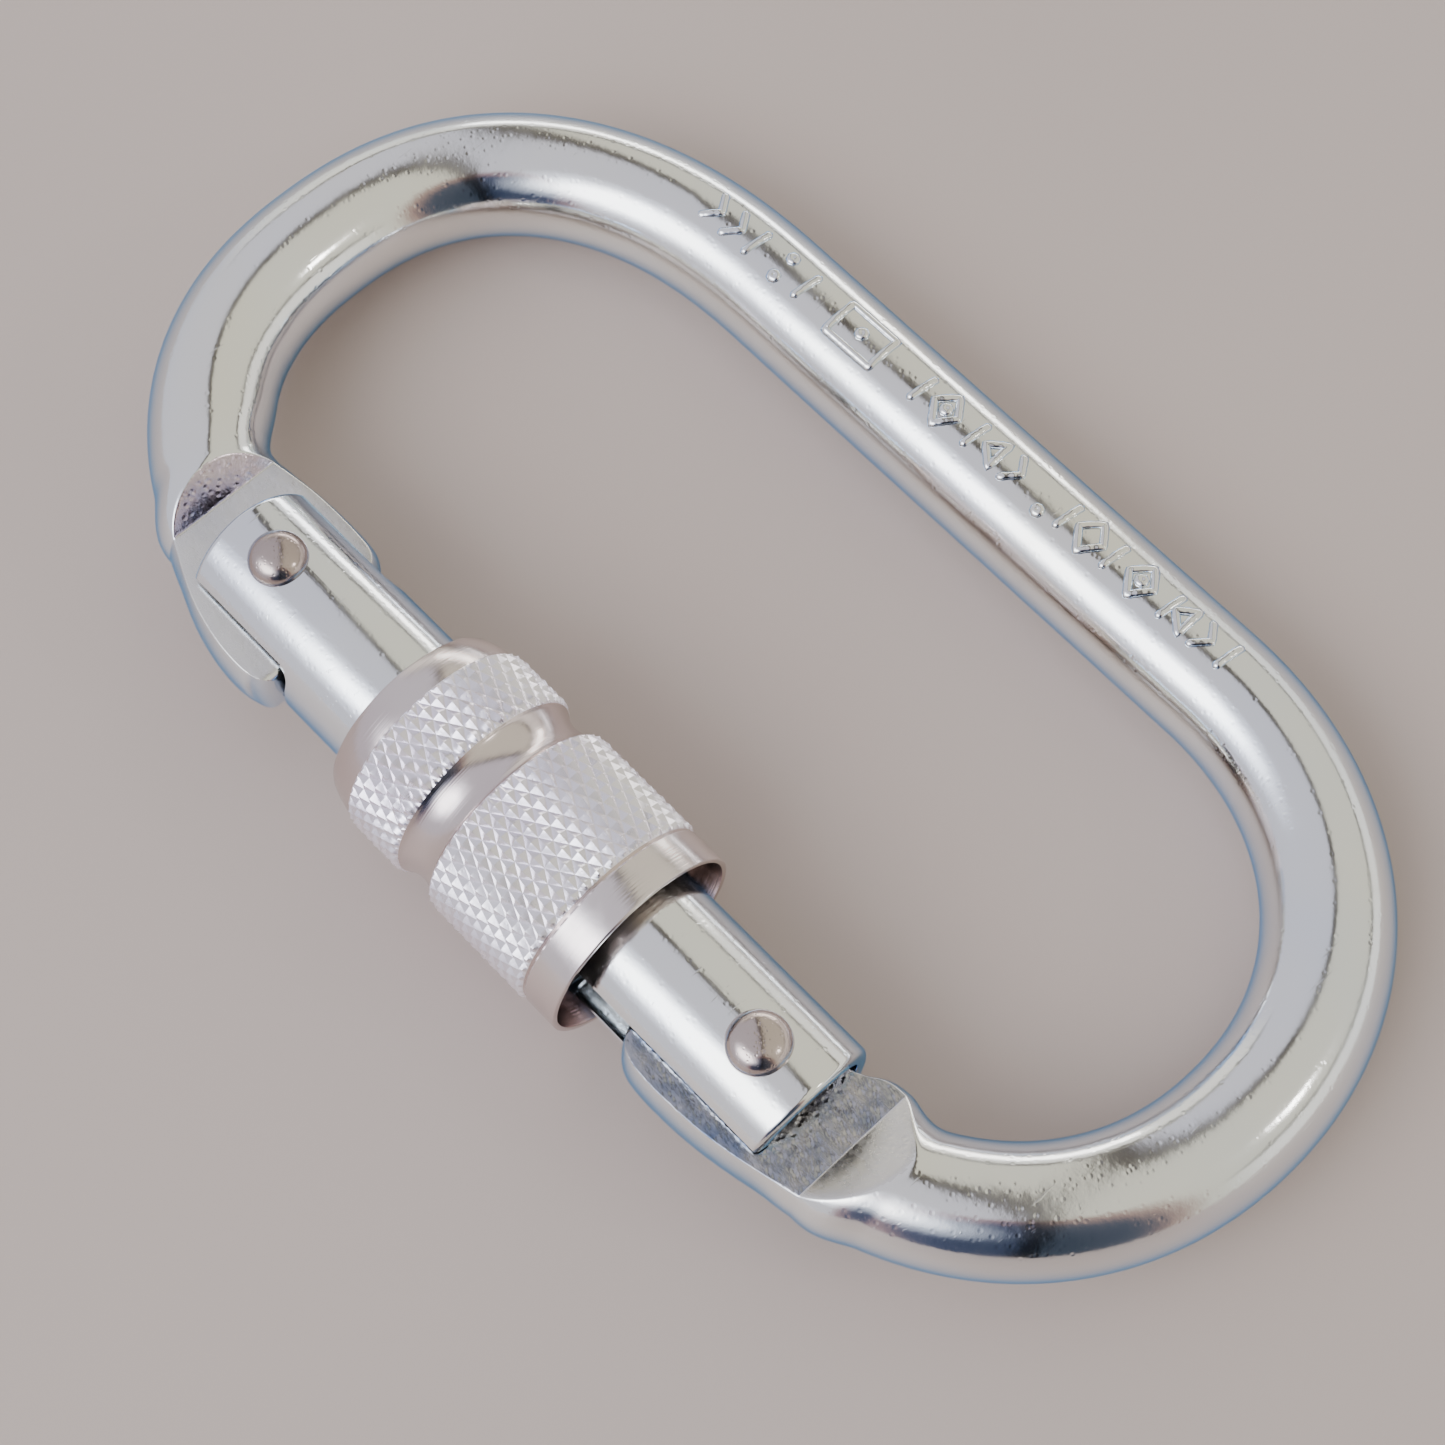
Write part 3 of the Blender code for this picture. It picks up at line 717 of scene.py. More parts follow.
def frame_looks(bm):
    """Materials 1 and 2 on the hinge flat and half-moon, 3 and 4 on the nose's."""
    for face in bm.faces:
        centre = face.calc_center_median()
        for first, side, shoulder_x, run in (
            (1, -1, HINGE_SHOULDER_X, HINGE_SHOULDER_RUN),
            (3, 1, LATCH_SHOULDER_X, LATCH_SHOULDER_RUN),
        ):
            past = side * (centre.x - shoulder_x)
            if centre.y < -15 * MM and side * centre.x > 15 * MM and past < run + 0.2 * MM:
                level = press_height(past, run)
                if abs(abs(centre.z) - level) < 0.05 * MM and abs(face.normal.z) > 0.5:
                    face.material_index = first if past < 0 else first + 1


def build_frame(looks):
    hinge_start = HINGE_SHOULDER_X - PLAIN_ROD
    latch_start = LATCH_SHOULDER_X + PLAIN_ROD
    hinge = tang_rings(
        -1, HINGE_OUTER, HINGE_INNER, HINGE_SHOULDER_X, HINGE_SHOULDER_RUN, HINGE_TIP_X,
    )
    latch = tang_rings(
        1, LATCH_OUTER, LATCH_INNER, LATCH_SHOULDER_X, LATCH_SHOULDER_RUN, LATCH_TIP_X,
    )
    hinge += rod_rings(even_steps(bend_path(-1, hinge_start), ROD_STEP), -1)
    latch += rod_rings(even_steps(bend_path(1, latch_start), ROD_STEP), 1)
    bm = ring_skin(hinge + latch[::-1], False)
    rivet_y = RIVET_DRAWN_Y
    notch_low = (LATCH_X - NOTCH_RADIUS, rivet_y, -5 * MM)
    notch_high = (LATCH_X + NOTCH_RADIUS, rivet_y + 8 * MM, 5 * MM)
    bm = carve(bm, [
        cylinder_mesh(HINGE_HOLE, HINGE_X, rivet_y, -6 * MM, 6 * MM),
        cylinder_mesh(NOTCH_RADIUS, LATCH_X, rivet_y, -6 * MM, 6 * MM),
        box_mesh(notch_low, notch_high),
    ])
    bmesh.ops.recalc_face_normals(bm, faces=bm.faces)
    bm.normal_update()
    frame_looks(bm)
    bmesh.ops.translate(bm, vec=(0, DRAWING_Y, 0), verts=bm.verts)
    return add_piece("carabiner_frame", bm, looks, "frame_body", ["frame"], 34.0)


# ---------------------------------------------------------------- raised marks

MARK_STROKE = 0.37 * MM
MARK_RISE = 0.31 * MM
MARK_SIDES = 10


def spine_top(x, y):
    """Height of the rod's pressed top at a point given from the oval's axes."""
    offset = y - HALF_WIDTH_CENTRE
    return soft_clip(math.sqrt(ROD_RADIUS ** 2 - offset ** 2), mark_press(x))


def bead(bm, points, closed):
    """A rounded raised stroke through (x, y) points in mm, draped on the spine."""
    places = [Vector((x * MM, HALF_WIDTH_CENTRE + (y + 0.012 * x) * MM)) for x, y in points]
    if closed:
        places = places + [places[0]]
    fine = [places[0]]
    for a, b in zip(places, places[1:]):
        steps = max(int((b - a).length / (0.16 * MM)), 1)
        fine += [a.lerp(b, (i + 1) / steps) for i in range(steps)]
    if closed:
        fine.pop()
    count = len(fine)
    rings = []
    for i, place in enumerate(fine):
        before = fine[i - 1] if closed else fine[max(i - 1, 0)]
        after = fine[(i + 1) % count] if closed else fine[min(i + 1, count - 1)]
        along = (after - before).normalized()
        across = Vector((along.y, -along.x))
        size = random.uniform(0.9, 1.0)
        if not closed:
            from_end = min((place - fine[0]).length, (place - fine[-1]).length)
            size *= math.sqrt(max(1 - max(1 - from_end / MARK_STROKE, 0.0) ** 2, 0.05))
        ring = []
        for k in range(MARK_SIDES):
            angle = 2 * math.pi * k / MARK_SIDES
            spot = place + across * (MARK_STROKE * size * math.cos(angle))
            rise = MARK_RISE * size * math.sin(angle)
            ring.append(bm.verts.new((spot.x, spot.y + DRAWING_Y, spine_top(spot.x, spot.y) + rise)))
        rings.append(ring)
    pairs = list(zip(rings, rings[1:] + rings[:1])) if closed else list(zip(rings, rings[1:]))
    for a, b in pairs:
        for k in range(MARK_SIDES):
            j = (k + 1) % MARK_SIDES
            bm.faces.new((a[k], a[j], b[j], b[k]))
    if not closed:
        bm.faces.new(rings[0])
        bm.faces.new(rings[-1])


def polygon(x, y, reach, height, sides, turn=0.0):
    points = []
    for i in range(sides):
        angle = 2 * math.pi * i / sides + turn
        points.append((x + reach * math.cos(angle), y + height * math.sin(angle)))
    return points


def build_marks(look):
    """Plain bars, dots, diamonds, triangles and frames in place of lettering."""
    bm = bmesh.new()
    for x in (-24.3, -18.7, -5.9, -0.2, 9.6, 14.4, 20.2, 26.0):
        bead(bm, [(x - 0.2, -1.5), (x + 0.2, 1.6)], False)
    for x in (-28.9, -26.6, 4.0, 23.6):
        bead(bm, [(x - 0.6, -1.5), (x + 0.7, 0.0), (x - 0.4, 1.6)], False)
    for x, y in ((-21.2, -1.1), (-21.2, 1.1), (7.6, -1.3), (-12.6, 0.1), (-3.3, 0.0), (17.2, 0.0)):
        bead(bm, polygon(x, y, 0.28, 0.28, 8), True)
    for x in (-3.3, 12.0, 17.2):
        bead(bm, polygon(x, 0.0, 1.25, 1.65, 4), True)
    for x in (1.9, 21.6):
        bead(bm, polygon(x, 0.0, 0.95, 1.5, 3, math.pi), True)
    bead(bm, [(-15.0, -1.6), (-10.2, -1.6), (-10.2, 1.7), (-15.0, 1.7)], True)
    return add_piece("spine_marks", bm, [look], "frame_body", [], 60.0)


# ---------------------------------------------------------------- gate

def thread_valley(x, turn):
    """Shape of the screw thread: 0 on a crest, 1 in a valley, straight flanks between."""
    phase = (x / THREAD_PITCH - turn / (2 * math.pi)) % 1.0
    return min(max(1.35 - abs(phase - 0.5) * 4.2, 0.0), 1.0)


def thread_cut(x, turn):
    """How deep the gate's thread is cut here, from 0 at a crest to THREAD_DEPTH."""
    low, high = THREAD_X
    if not low < x < high:
        return 0.0
    fade = smoothstep((x - low) / THREAD_FADE) * smoothstep((high - x) / THREAD_FADE)
    return THREAD_DEPTH * thread_valley(x, turn) * fade


def slot_cutter(start, end, y_low, y_high, half):
    """A slot seen along Y: open at end, rounded in its corners at start."""
    inward = math.copysign(SLOT_CORNER, start - end)
    outline = [(end, -half)]
    for i in range(7):
        angle = math.pi / 2 * i / 6
        outline.append((start - inward + inward * math.sin(angle),
                        -half + SLOT_CORNER - SLOT_CORNER * math.cos(angle)))
    for i in range(7):
        angle = math.pi / 2 * i / 6
        outline.append((start - inward + inward * math.cos(angle),
                        half - SLOT_CORNER + SLOT_CORNER * math.sin(angle)))
    outline.append((end, half))
    bm = bmesh.new()
    low = [bm.verts.new((x, y_low, z)) for x, z in outline]
    high = [bm.verts.new((x, y_high, z)) for x, z in outline]
    bm.faces.new(low)
    bm.faces.new(high[::-1])
    for i in range(len(outline)):
        j = (i + 1) % len(outline)
        bm.faces.new((low[i], high[i], high[j], low[j]))
    return bm


def edge_cutter(x_low, x_high, y, z):
    """A small square bar set on its corner that breaks a slot's long outer edge."""
    bm = box_mesh(
        (x_low, -SLOT_CHAMFER, -SLOT_CHAMFER), (x_high, SLOT_CHAMFER, SLOT_CHAMFER),
    )
    turn = math.atan2(z, y - GATE_Y) + math.radians(45.0)
    bmesh.ops.transform(bm, matrix=Matrix.Rotation(turn, 4, "X"), verts=bm.verts)
    bmesh.ops.translate(bm, vec=(0, y, z), verts=bm.verts)
    return bm


def build_gate(look):
    low, high = GATE_HINGE_X, GATE_LATCH_X
    big, small = GATE_OUTER_ROUND, GATE_INNER_ROUND
    thread_low, thread_high = THREAD_X
    rows = int((thread_high - thread_low) / (THREAD_PITCH / 12))
    outside = arc((low + big, GATE_RADIUS - big), big, 180, 90, 6)
    for i in range(rows + 1):
        outside.append((thread_low + (thread_high - thread_low) * i / rows, GATE_RADIUS))
    outside += arc((high - big, GATE_RADIUS - big), big, 90, 0, 6)
    inside = arc((high - small, GATE_BORE + small), small, 0, -90, 4)
    inside += arc((low + small, GATE_BORE + small), small, -90, -180, 4)

    def relief(x, r, turn):
        return -thread_cut(x, turn) if r == GATE_RADIUS else 0.0

    bm = turned_x(outside + inside, GATE_SIDES, relief)
    for vertex in bm.verts:
        bulge = GATE_CROWN * ((vertex.co.y - GATE_Y) / GATE_RADIUS) ** 2
        fade = smoothstep((abs(vertex.co.x) - 14 * MM) / (10 * MM))
        vertex.co.x -= math.copysign(bulge * fade, vertex.co.x)
    rivet_y = HINGE_Y
    cutters = [
        slot_cutter(HINGE_SLOT_X, low - 5 * MM, GATE_Y - 9 * MM, GATE_Y + 9 * MM, HINGE_SLOT_HALF),
        slot_cutter(LATCH_SLOT_X, high + 5 * MM, GATE_Y - 9 * MM, GATE_Y, LATCH_SLOT_HALF),
        cylinder_mesh(RIVET_HOLE, HINGE_X, rivet_y, -9 * MM, 9 * MM),
        cylinder_mesh(RIVET_HOLE, LATCH_X, rivet_y, -9 * MM, 9 * MM),
    ]
    for half, near, far, sides in (
        (HINGE_SLOT_HALF, low - 1 * MM, HINGE_SLOT_X - SLOT_CORNER, (-1, 1)),
        (LATCH_SLOT_HALF, LATCH_SLOT_X + SLOT_CORNER, high + 1 * MM, (-1,)),
    ):
        reach = math.sqrt(GATE_RADIUS ** 2 - half ** 2)
        for side in sides:
            for sign in (-1, 1):
                cutters.append(edge_cutter(near, far, GATE_Y + side * reach, sign * half))
    bm = carve(bm, cutters)
    return add_piece("gate_tube", bm, [look], "gate_arm", ["gate"], 34.0)


def build_rivet(name, x, head, look, node):
    steps = 18
    upper = [(HEAD_FOOT_Z, RIVET_SHANK), (HEAD_FOOT_Z, head * 0.985), (HEAD_WAIST_Z, head)]
    for i in range(1, steps):
        angle = math.pi / 2 * i / steps
        rise = (HEAD_TOP_Z - HEAD_WAIST_Z) * math.sin(angle)
        upper.append((HEAD_WAIST_Z + rise, head * math.cos(angle) ** 0.86))
    upper.append((HEAD_TOP_Z, 0.0))
    bm = spun_z(upper[::-1] + [(-z, r) for z, r in upper], x, HINGE_Y, 64)
    clear = GATE_RADIUS + 0.04 * MM
    near, far = x - 5 * MM, x + 5 * MM
    seat = turned_x(
        [(near, RIVET_SHANK), (far, RIVET_SHANK), (far, clear), (near, clear)], GATE_SIDES,
    )
    seat = carve(seat, [cylinder_mesh(RIVET_SHANK, x, HINGE_Y, -6.6 * MM, 6.6 * MM, 64)])
    bm = carve(bm, [seat])
    return add_piece(name, bm, [look], "gate_arm", [node], 34.0)


# ---------------------------------------------------------------- sleeve

KNURL_LIFT = {}


def knurl_cuts(x, turn, band):
    """Counts along the two crossing sets of cuts, and how far each is from its cut."""
    around = turn * KNURL_STARTS / (2 * math.pi)
    along = (x - band[0]) / KNURL_PITCH
    u, v = around + along, around - along
    sides = [0.5 - abs(w - math.floor(w) - 0.5) for w in (u, v)]
    return u, v, sides


def knurl(x, turn, band):
    """Height of the diamond knurl, from 0 in a cut to 1 on a crest."""
    u, v, sides = knurl_cuts(x, turn, band)
    cell = (math.floor(u + 1e-6) % KNURL_STARTS, math.floor(v + 1e-6) % KNURL_STARTS)
    if cell not in KNURL_LIFT:
        KNURL_LIFT[cell] = random.uniform(0.90, 1.0)
    return min(2 * min(sides), KNURL_TOP) / KNURL_TOP * KNURL_LIFT[cell]


def split_along_cuts(bm, root):
    """Split the knurl's quads on the diagonal that runs with the nearer cut."""
    for face in [f for f in bm.faces if len(f.verts) == 4]:
        centre = face.calc_center_median()
        out = math.hypot(centre.y - GATE_Y, centre.z)
        bands = [band for band in (BAND_ONE, BAND_TWO) if band[0] < centre.x < band[1]]
        if not bands or out < root - 0.1 * MM:
            continue
        turn = math.atan2(centre.z, centre.y - GATE_Y) % (2 * math.pi)
        sides = knurl_cuts(centre.x, turn, bands[0])[2]
        rising = sides[0] > sides[1]
        corners = sorted(face.verts, key=lambda vert: vert.co.x)
        ends = []
        for pair in (corners[:2], corners[2:]):
            turns = []
            for vert in pair:
                at = math.atan2(vert.co.z, vert.co.y - GATE_Y)
                turns.append((at - turn + math.pi) % (2 * math.pi))
            ends.append(pair if turns[0] < turns[1] else pair[::-1])
        first, second = (ends[0][0], ends[1][1]) if rising else (ends[0][1], ends[1][0])
        bmesh.utils.face_split(face, first, second)


def build_sleeve(look_knurl, look_smooth):
    low, high = SLEEVE_LOW.x, SLEEVE_HIGH.x
    root = SLEEVE_RADIUS - KNURL_DEPTH
    step = KNURL_PITCH / (2 * KNURL_FINE)
    shelf = high - COUNTERBORE_DEPTH
    ring_low, ring_high = RING_SEAT_X - RING_SEAT_HALF, RING_SEAT_X + RING_SEAT_HALF

    def band_rows(band):
        count = round((band[1] - band[0]) / step)
        return [(band[0] + (band[1] - band[0]) * i / count, SLEEVE_RADIUS) for i in range(count + 1)]

    profile = [(low, SLEEVE_COLLAR), (low + 0.12 * MM, SLEEVE_COLLAR + 0.2 * MM)]
    profile += [(low + 0.5 * MM, SLEEVE_COLLAR + 0.45 * MM), (low + 1.4 * MM, root - 0.26 * MM)]
    profile += [(low + 2.2 * MM, root - 0.08 * MM), (BAND_ONE[0] - 0.2 * MM, root - 0.02 * MM)]
    profile += band_rows(BAND_ONE)
    dip = SLEEVE_RADIUS - SLEEVE_GROOVE
    for i in range(1, 24):
        share = i / 24
        x = BAND_ONE[1] + (BAND_TWO[0] - BAND_ONE[1]) * share
        profile.append((x, root - (dip - KNURL_DEPTH) * math.sin(math.pi * share) ** 0.7))
    profile += band_rows(BAND_TWO)
    profile += [(BAND_TWO[1] + 0.1 * MM, root - 0.12 * MM), (BAND_TWO[1] + 0.25 * MM, root + 0.02 * MM)]
    profile += [(BAND_TWO[1] + 0.4 * MM, SLEEVE_RIM)]
    profile += arc((high - 0.15 * MM, SLEEVE_RIM - 0.15 * MM), 0.15 * MM, 90, 0, 4)
    profile += arc((high - 0.1 * MM, COUNTERBORE + 0.1 * MM), 0.1 * MM, 0, -90, 3)
    profile += [(shelf, COUNTERBORE), (shelf, SLEEVE_BORE + 0.5 * MM), (shelf - 0.5 * MM, SLEEVE_BORE)]
    bore_start = shelf - 0.6 * MM
    for i in range(BORE_ROWS + 1):
        profile.append((bore_start + (ring_high - shelf + 0.6 * MM) * i / BORE_ROWS, SLEEVE_BORE))
    profile += [(ring_high, RING_SEAT_RADIUS), (ring_low, RING_SEAT_RADIUS), (ring_low, SLEEVE_BORE)]
    profile += [(low + 0.3 * MM, SLEEVE_BORE), (low, SLEEVE_BORE + 0.3 * MM)]

    def relief(x, r, turn):
        if r == SLEEVE_RADIUS:
            band = BAND_ONE if x < BAND_ONE[1] + 0.01 * MM else BAND_TWO
            end = smoothstep(min(x - band[0], band[1] - x) / (0.22 * MM))
            return -KNURL_DEPTH * (1 - knurl(x, turn, band) * end)
        if r == SLEEVE_BORE and ring_high + 0.2 * MM < x < shelf - 0.6 * MM:
            return THREAD_DEPTH * thread_valley(x, turn)
        return 0.0

    bm = turned_x(profile, 2 * KNURL_STARTS * KNURL_FINE, relief)
    split_along_cuts(bm, root)
    for face in bm.faces:
        centre = face.calc_center_median()
        out = math.hypot(centre.y - GATE_Y, centre.z)
        in_band = any(band[0] < centre.x < band[1] for band in (BAND_ONE, BAND_TWO))
        face.material_index = 1 if out > root - 0.1 * MM and in_band else 0
    return add_piece(
        "knurled_sleeve", bm, [look_smooth, look_knurl], "sleeve_body",
        ["locking_sleeve"], 24.0,
    )


# ---------------------------------------------------------------- inside pieces

def build_grip_ring(black):
    """The friction ring, a square section with well rounded corners."""
    ring_low, ring_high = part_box("friction_ring")
    outer = (ring_high.z - ring_low.z) / 2
    middle_x = (ring_low.x + ring_high.x) / 2
    middle_r = (outer + RING_INNER) / 2
    half_x = (ring_high.x - ring_low.x) / 2
    half_r = (outer - RING_INNER) / 2
    profile = []
    for i in range(20):
        angle = 2 * math.pi * i / 20
        bulge = [math.copysign(abs(f(angle)) ** 0.6, f(angle)) for f in (math.cos, math.sin)]
        profile.append((middle_x + half_x * bulge[0], middle_r + half_r * bulge[1]))
    add_piece(
        "grip_ring", turned_x(profile, 96), [black], "ring_carrier", ["friction_ring"],
    )


def soft_solid(points, round_off, steps=4):
    """A closed (x, r) profile from pole to pole with each inner corner rounded off."""
    out = [points[0]]
    for before, corner, after in zip(points, points[1:], points[2:]):
        p, c, q = Vector(before), Vector(corner), Vector(after)
        a = c + (p - c).normalized() * min(round_off, (p - c).length / 2.1)
        b = c + (q - c).normalized() * min(round_off, (q - c).length / 2.1)
        for i in range(steps + 1):
            t = i / steps
            place = a * (1 - t) ** 2 + c * (2 * t * (1 - t)) + b * t ** 2
            out.append((place.x, place.y))
    out.append(points[-1])
    return out


def spun_x(profile, sides):
    bm = bmesh.new()
    line = [bm.verts.new((x, GATE_Y + r, 0.0)) for x, r in profile]
    edges = [bm.edges.new(pair) for pair in zip(line, line[1:])]
    bmesh.ops.spin(
        bm, geom=line + edges, cent=(0, GATE_Y, 0), axis=(1, 0, 0), angle=2 * math.pi,
        steps=sides, use_merge=True,
    )
    bmesh.ops.remove_doubles(bm, verts=bm.verts, dist=1e-7)
    return bm


def build_pin_and_plug(steel):
    """The plunger and the plug, each a shank inside the coil with a wider head."""
    pin_low, pin_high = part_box("push_pin")
    head = (pin_high.z - pin_low.z) / 2
    neck = pin_low.x + PIN_HEAD_DEPTH
    profile = soft_solid([
        (pin_low.x, 0.0), (pin_low.x, head), (neck, head), (neck, PIN_SHANK),
        (pin_high.x, PIN_SHANK), (pin_high.x, 0.0),
    ], 0.4 * MM)
    add_piece("plunger_pin", spun_x(profile, 64), [steel], "plunger", ["push_pin"])
    seat_low, seat_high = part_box("spring_seat")
    face = seat_low.x + PLUG_SPIGOT
    radius = (seat_high.z - seat_low.z) / 2
    profile = soft_solid([
        (seat_low.x, 0.0), (seat_low.x, PIN_SHANK), (face, PIN_SHANK), (face, radius),
        (seat_high.x, radius), (seat_high.x, 0.0),
    ], 0.3 * MM)
    plug = spun_x(profile, 64)
    add_piece("spring_plug", plug, [steel], "gate_arm", ["spring_seat"])


def build_spring(wire):
    """The coil, with closed end turns."""
    coil_low, coil_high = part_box("return_spring")
    start, end = coil_low.x + WIRE_RADIUS, coil_high.x - WIRE_RADIUS
    closed = 2.2 * WIRE_RADIUS
    rings = []
    for i in range(COIL_TURNS * COIL_FINE + 1):
        turn = i / COIL_FINE
        inner = min(max((turn - DEAD_TURNS) / (COIL_TURNS - 2 * DEAD_TURNS), 0.0), 1.0)
        lead = closed * (min(turn, DEAD_TURNS) + max(turn - COIL_TURNS + DEAD_TURNS, 0.0))
        x = start + lead + (end - start - 2 * DEAD_TURNS * closed) * inner
        angle = 2 * math.pi * turn
        out = Vector((0.0, math.cos(angle), math.sin(angle)))
        ring = []
        for k in range(WIRE_SIDES):
            around = 2 * math.pi * k / WIRE_SIDES
            reach = COIL_RADIUS + WIRE_RADIUS * math.cos(around)
            shift = Vector((WIRE_RADIUS * math.sin(around), 0.0, 0.0))
            ring.append(Vector((x, GATE_Y, 0.0)) + out * reach + shift)
        rings.append(ring)
    coil = add_piece(
        "closing_spring", ring_skin(rings, False), [wire], "gate_arm",
        ["return_spring"], 40.0,
    )
    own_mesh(coil)


# ---------------------------------------------------------------- scene

def build_stage():
    """A pale floor that touches the sleeve and the spine, both of which it carries."""
    spine_y = HALF_WIDTH_CENTRE + DRAWING_Y
    lean = math.asin((SLEEVE_RADIUS - ROD_RADIUS) / (spine_y - GATE_Y))
    mesh = bpy.data.meshes.new("floor")
    bm = bmesh.new()
    bmesh.ops.create_grid(bm, x_segments=4, y_segments=4, size=FLOOR_REACH)
    bm.to_mesh(mesh)
    bm.free()
    floor = bpy.data.objects.new("floor", mesh)
    bpy.context.scene.collection.objects.link(floor)
    floor.rotation_euler = (lean, 0.0, 0.0)
    floor.location = (0.0, 0.0, -(SLEEVE_RADIUS + math.sin(lean) * GATE_Y) / math.cos(lean))
    mesh.materials.append(floor_material())


def build_light():
    """A pale room: cool side, warm side, the seam between them, and a dark far corner."""
    world = bpy.data.worlds.new("studio")
    bpy.context.scene.world = world
    world.use_nodes = True
    tree = world.node_tree
    sky = tree.nodes["Background"]
    heading = tree.nodes.new("ShaderNodeTexCoord").outputs["Generated"]

    def facing(direction, stops, stretch=(1.0, 1.0, 1.0)):
        """Colours by how squarely the view meets a direction, from -1 to 1."""
        direction = Vector(a * b for a, b in zip(Vector(direction).normalized(), stretch))
        scale, unit, dot = [tree.nodes.new("ShaderNodeVectorMath") for _ in range(3)]
        scale.operation = "MULTIPLY"
        scale.inputs[1].default_value = stretch
        unit.operation = "NORMALIZE"
        dot.operation = "DOT_PRODUCT"
        dot.inputs[1].default_value = direction.normalized()
        tree.links.new(heading, scale.inputs[0])
        tree.links.new(scale.outputs["Vector"], unit.inputs[0])
        tree.links.new(unit.outputs["Vector"], dot.inputs[0])
        scaled = tree.nodes.new("ShaderNodeMapRange")
        scaled.inputs["From Min"].default_value = -1.0
        tree.links.new(dot.outputs["Value"], scaled.inputs["Value"])
        ramp = tree.nodes.new("ShaderNodeValToRGB")
        while len(ramp.color_ramp.elements) < len(stops):
            ramp.color_ramp.elements.new(0.5)
        for element, (value, colour) in zip(ramp.color_ramp.elements, stops):
            element.position = (value + 1) / 2
            element.color = (*colour, 1.0)
        tree.links.new(scaled.outputs["Result"], ramp.inputs["Fac"])
        return ramp.outputs["Color"]

    def blend(kind, a, b, share=None):
        node = tree.nodes.new("ShaderNodeMix")
        node.data_type = "RGBA"
        node.blend_type = kind
        node.inputs["Factor"].default_value = 1.0
        if share is not None:
            tree.links.new(share, node.inputs["Factor"])
        tree.links.new(a, node.inputs[6])
        tree.links.new(b, node.inputs[7])
        return node.outputs[2]

    black, white = (0.0,) * 3, (1.0,) * 3
    cool, warm, seam = (0.66, 0.66, 0.74), (0.72, 0.70, 0.60), (0.085, 0.075, 0.065)
    room = facing(SEAM_FACING, [
        (-1.0, cool), (-0.080, cool), (-0.045, seam), (0.030, seam), (0.050, warm), (1.0, warm),
    ])
    low_wall = facing((0, 0, 1), [
        (-1.0, (1.0, 0.98, 0.92)), (0.30, (1.0, 0.98, 0.92)), (0.335, (0.9, 0.88, 0.8)),
        (0.345, seam), (0.385, seam), (0.400, warm), (1.0, warm),
    ])
    low_share = facing((0, 0, 1), [(-1.0, white), (0.400, white), (0.404, black), (1.0, black)])
    warm_side = facing((0, 1, 0), [(-1.0, black), (0.12, black), (0.3, white), (1.0, white)])
    room = blend("MIX", room, low_wall, blend("MULTIPLY", low_share, warm_side))
    corner = facing(DARK_CORNER, [
        (-1.0, white), (0.77, white), (0.84, (0.50, 0.34, 0.34)), (0.90, (0.10, 0.12, 0.19)),
        (1.0, (0.05, 0.07, 0.12)),
    ], DARK_STRETCH)
    room = blend("MULTIPLY", room, corner)
    tree.links.new(room, sky.inputs["Color"])
    sky.inputs["Strength"].default_value = ROOM_STRENGTH
    glow = tree.nodes.new("ShaderNodeBackground")
    glow.inputs["Strength"].default_value = WINDOW_STRENGTH
    shape = facing(WINDOW_AT, [
        (-1.0, black), (0.87, black), (0.93, (0.10, 0.11, 0.13)), (0.965, (0.45, 0.48, 0.53)),
        (0.985, (0.92, 0.96, 1.0)), (1.0, (0.92, 0.96, 1.0)),
    ], WINDOW_STRETCH)
    tree.links.new(shape, glow.inputs["Color"])
    both = tree.nodes.new("ShaderNodeAddShader")
    tree.links.new(sky.outputs["Background"], both.inputs[0])
    tree.links.new(glow.outputs["Background"], both.inputs[1])
    tree.links.new(both.outputs["Shader"], tree.nodes["World Output"].inputs["Surface"])
    for name, heading_at, size, radiance, colour in SOFT_BOXES:
        place = Vector(heading_at).normalized() * LIGHT_DISTANCE
        soft_box(name, place, (0, 0, 0), size, radiance, colour)


add_camera()

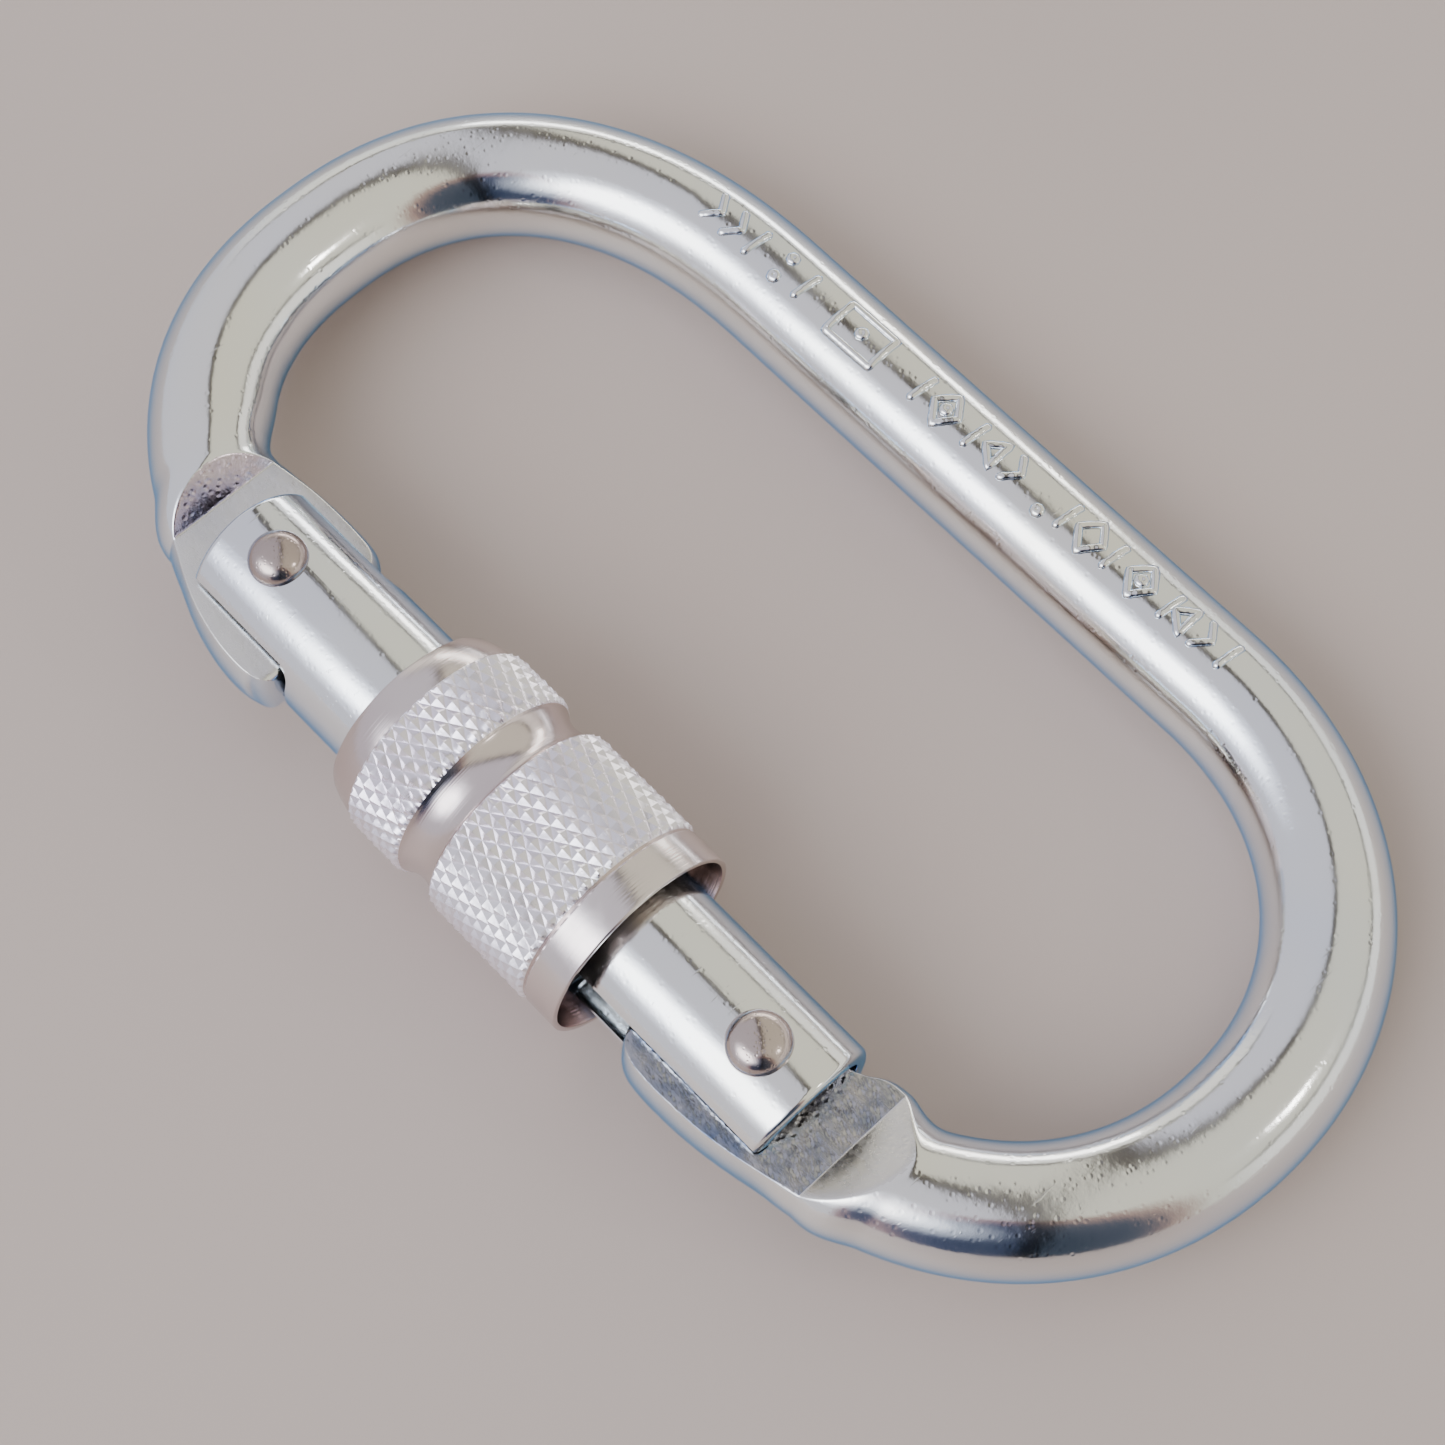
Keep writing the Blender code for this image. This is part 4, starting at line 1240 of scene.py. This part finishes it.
PLAIN_EDGE = (1.0, 1.0, 1.0, 1.0)
# blue specular tint for the zinc: a painted reflection that gives grazing edges the blue of a bluish
# floor reflected in them
BLUE_EDGE_PAINTED_REFLECTION = (0.28, 0.56, 0.95, 1.0)
ZINC = plated(
    "zinc_plate_rod", [(0.84, 0.87, 0.92), (0.90, 0.90, 0.89), (0.91, 0.89, 0.83)],
    (0.09, 0.17), 0.12, 0.10, BLUE_EDGE_PAINTED_REFLECTION,
)
HINGE_FLAT = pressed_face(
    "zinc_hinge_flat", [(0.74, 0.73, 0.72), (0.82, 0.80, 0.76), (0.88, 0.86, 0.80)],
    (0.22, 0.34), 0.12,
)
HINGE_MOON = pressed_face(
    "zinc_hinge_shoulder", [(0.42, 0.50, 0.72), (0.60, 0.50, 0.58), (0.76, 0.66, 0.68)],
    (0.12, 0.26), 0.55,
)
NOSE_FLAT = pressed_face(
    "zinc_nose_flat", [(0.15, 0.20, 0.32), (0.36, 0.37, 0.42), (0.66, 0.62, 0.58)],
    (0.12, 0.30), 0.70,
)
NOSE_MOON = pressed_face(
    "zinc_nose_shoulder", [(0.74, 0.72, 0.70), (0.82, 0.79, 0.75), (0.88, 0.85, 0.80)],
    (0.20, 0.32), 0.12,
)
GATE_ZINC = plated(
    "zinc_plate_tube", [(0.86, 0.88, 0.93), (0.90, 0.91, 0.91), (0.91, 0.90, 0.86)],
    (0.08, 0.17), 0.10, 0.18, BLUE_EDGE_PAINTED_REFLECTION,
)
RIVET = plated(
    "rivet_nickel_dome", [(0.42, 0.34, 0.33), (0.54, 0.45, 0.41), (0.66, 0.57, 0.55)],
    (0.14, 0.26), 0.30, 0.10, PLAIN_EDGE, 2.0,
)
KNURL = plated(
    "sleeve_nickel_knurl", [(0.93, 0.86, 0.96), (0.96, 0.91, 0.98), (0.98, 0.95, 0.97)],
    (0.24, 0.34), 0.12, 0.04, PLAIN_EDGE, 2.0,
)
SMOOTH = turned_face(
    "sleeve_nickel_turned", [(0.66, 0.56, 0.55), (0.76, 0.67, 0.65), (0.86, 0.79, 0.77)],
    (0.14, 0.26), 7000.0, 0.28,
)
INNER = turned_face(
    "inner_turned_steel", [(0.42, 0.42, 0.43), (0.48, 0.48, 0.48), (0.55, 0.54, 0.52)],
    (0.28, 0.42), 5000.0, 0.2,
)
WIRE = turned_face(
    "spring_wire_steel", [(0.50, 0.50, 0.52), (0.55, 0.55, 0.56), (0.60, 0.60, 0.60)],
    (0.24, 0.36), 3000.0, 0.15,
)
BLACK = rubber("ring_black_rubber")

build_frame([ZINC, HINGE_FLAT, HINGE_MOON, NOSE_FLAT, NOSE_MOON])
build_marks(ZINC)
build_gate(GATE_ZINC)
build_rivet("hinge_rivet_domed", HINGE_X, HINGE_HEAD, RIVET, "hinge_rivet")
build_rivet("latch_rivet_domed", LATCH_X, LATCH_HEAD, RIVET, "latch_rivet")
build_sleeve(KNURL, SMOOTH)
build_grip_ring(BLACK)
build_pin_and_plug(INNER)
build_spring(WIRE)
build_stage()
build_light()
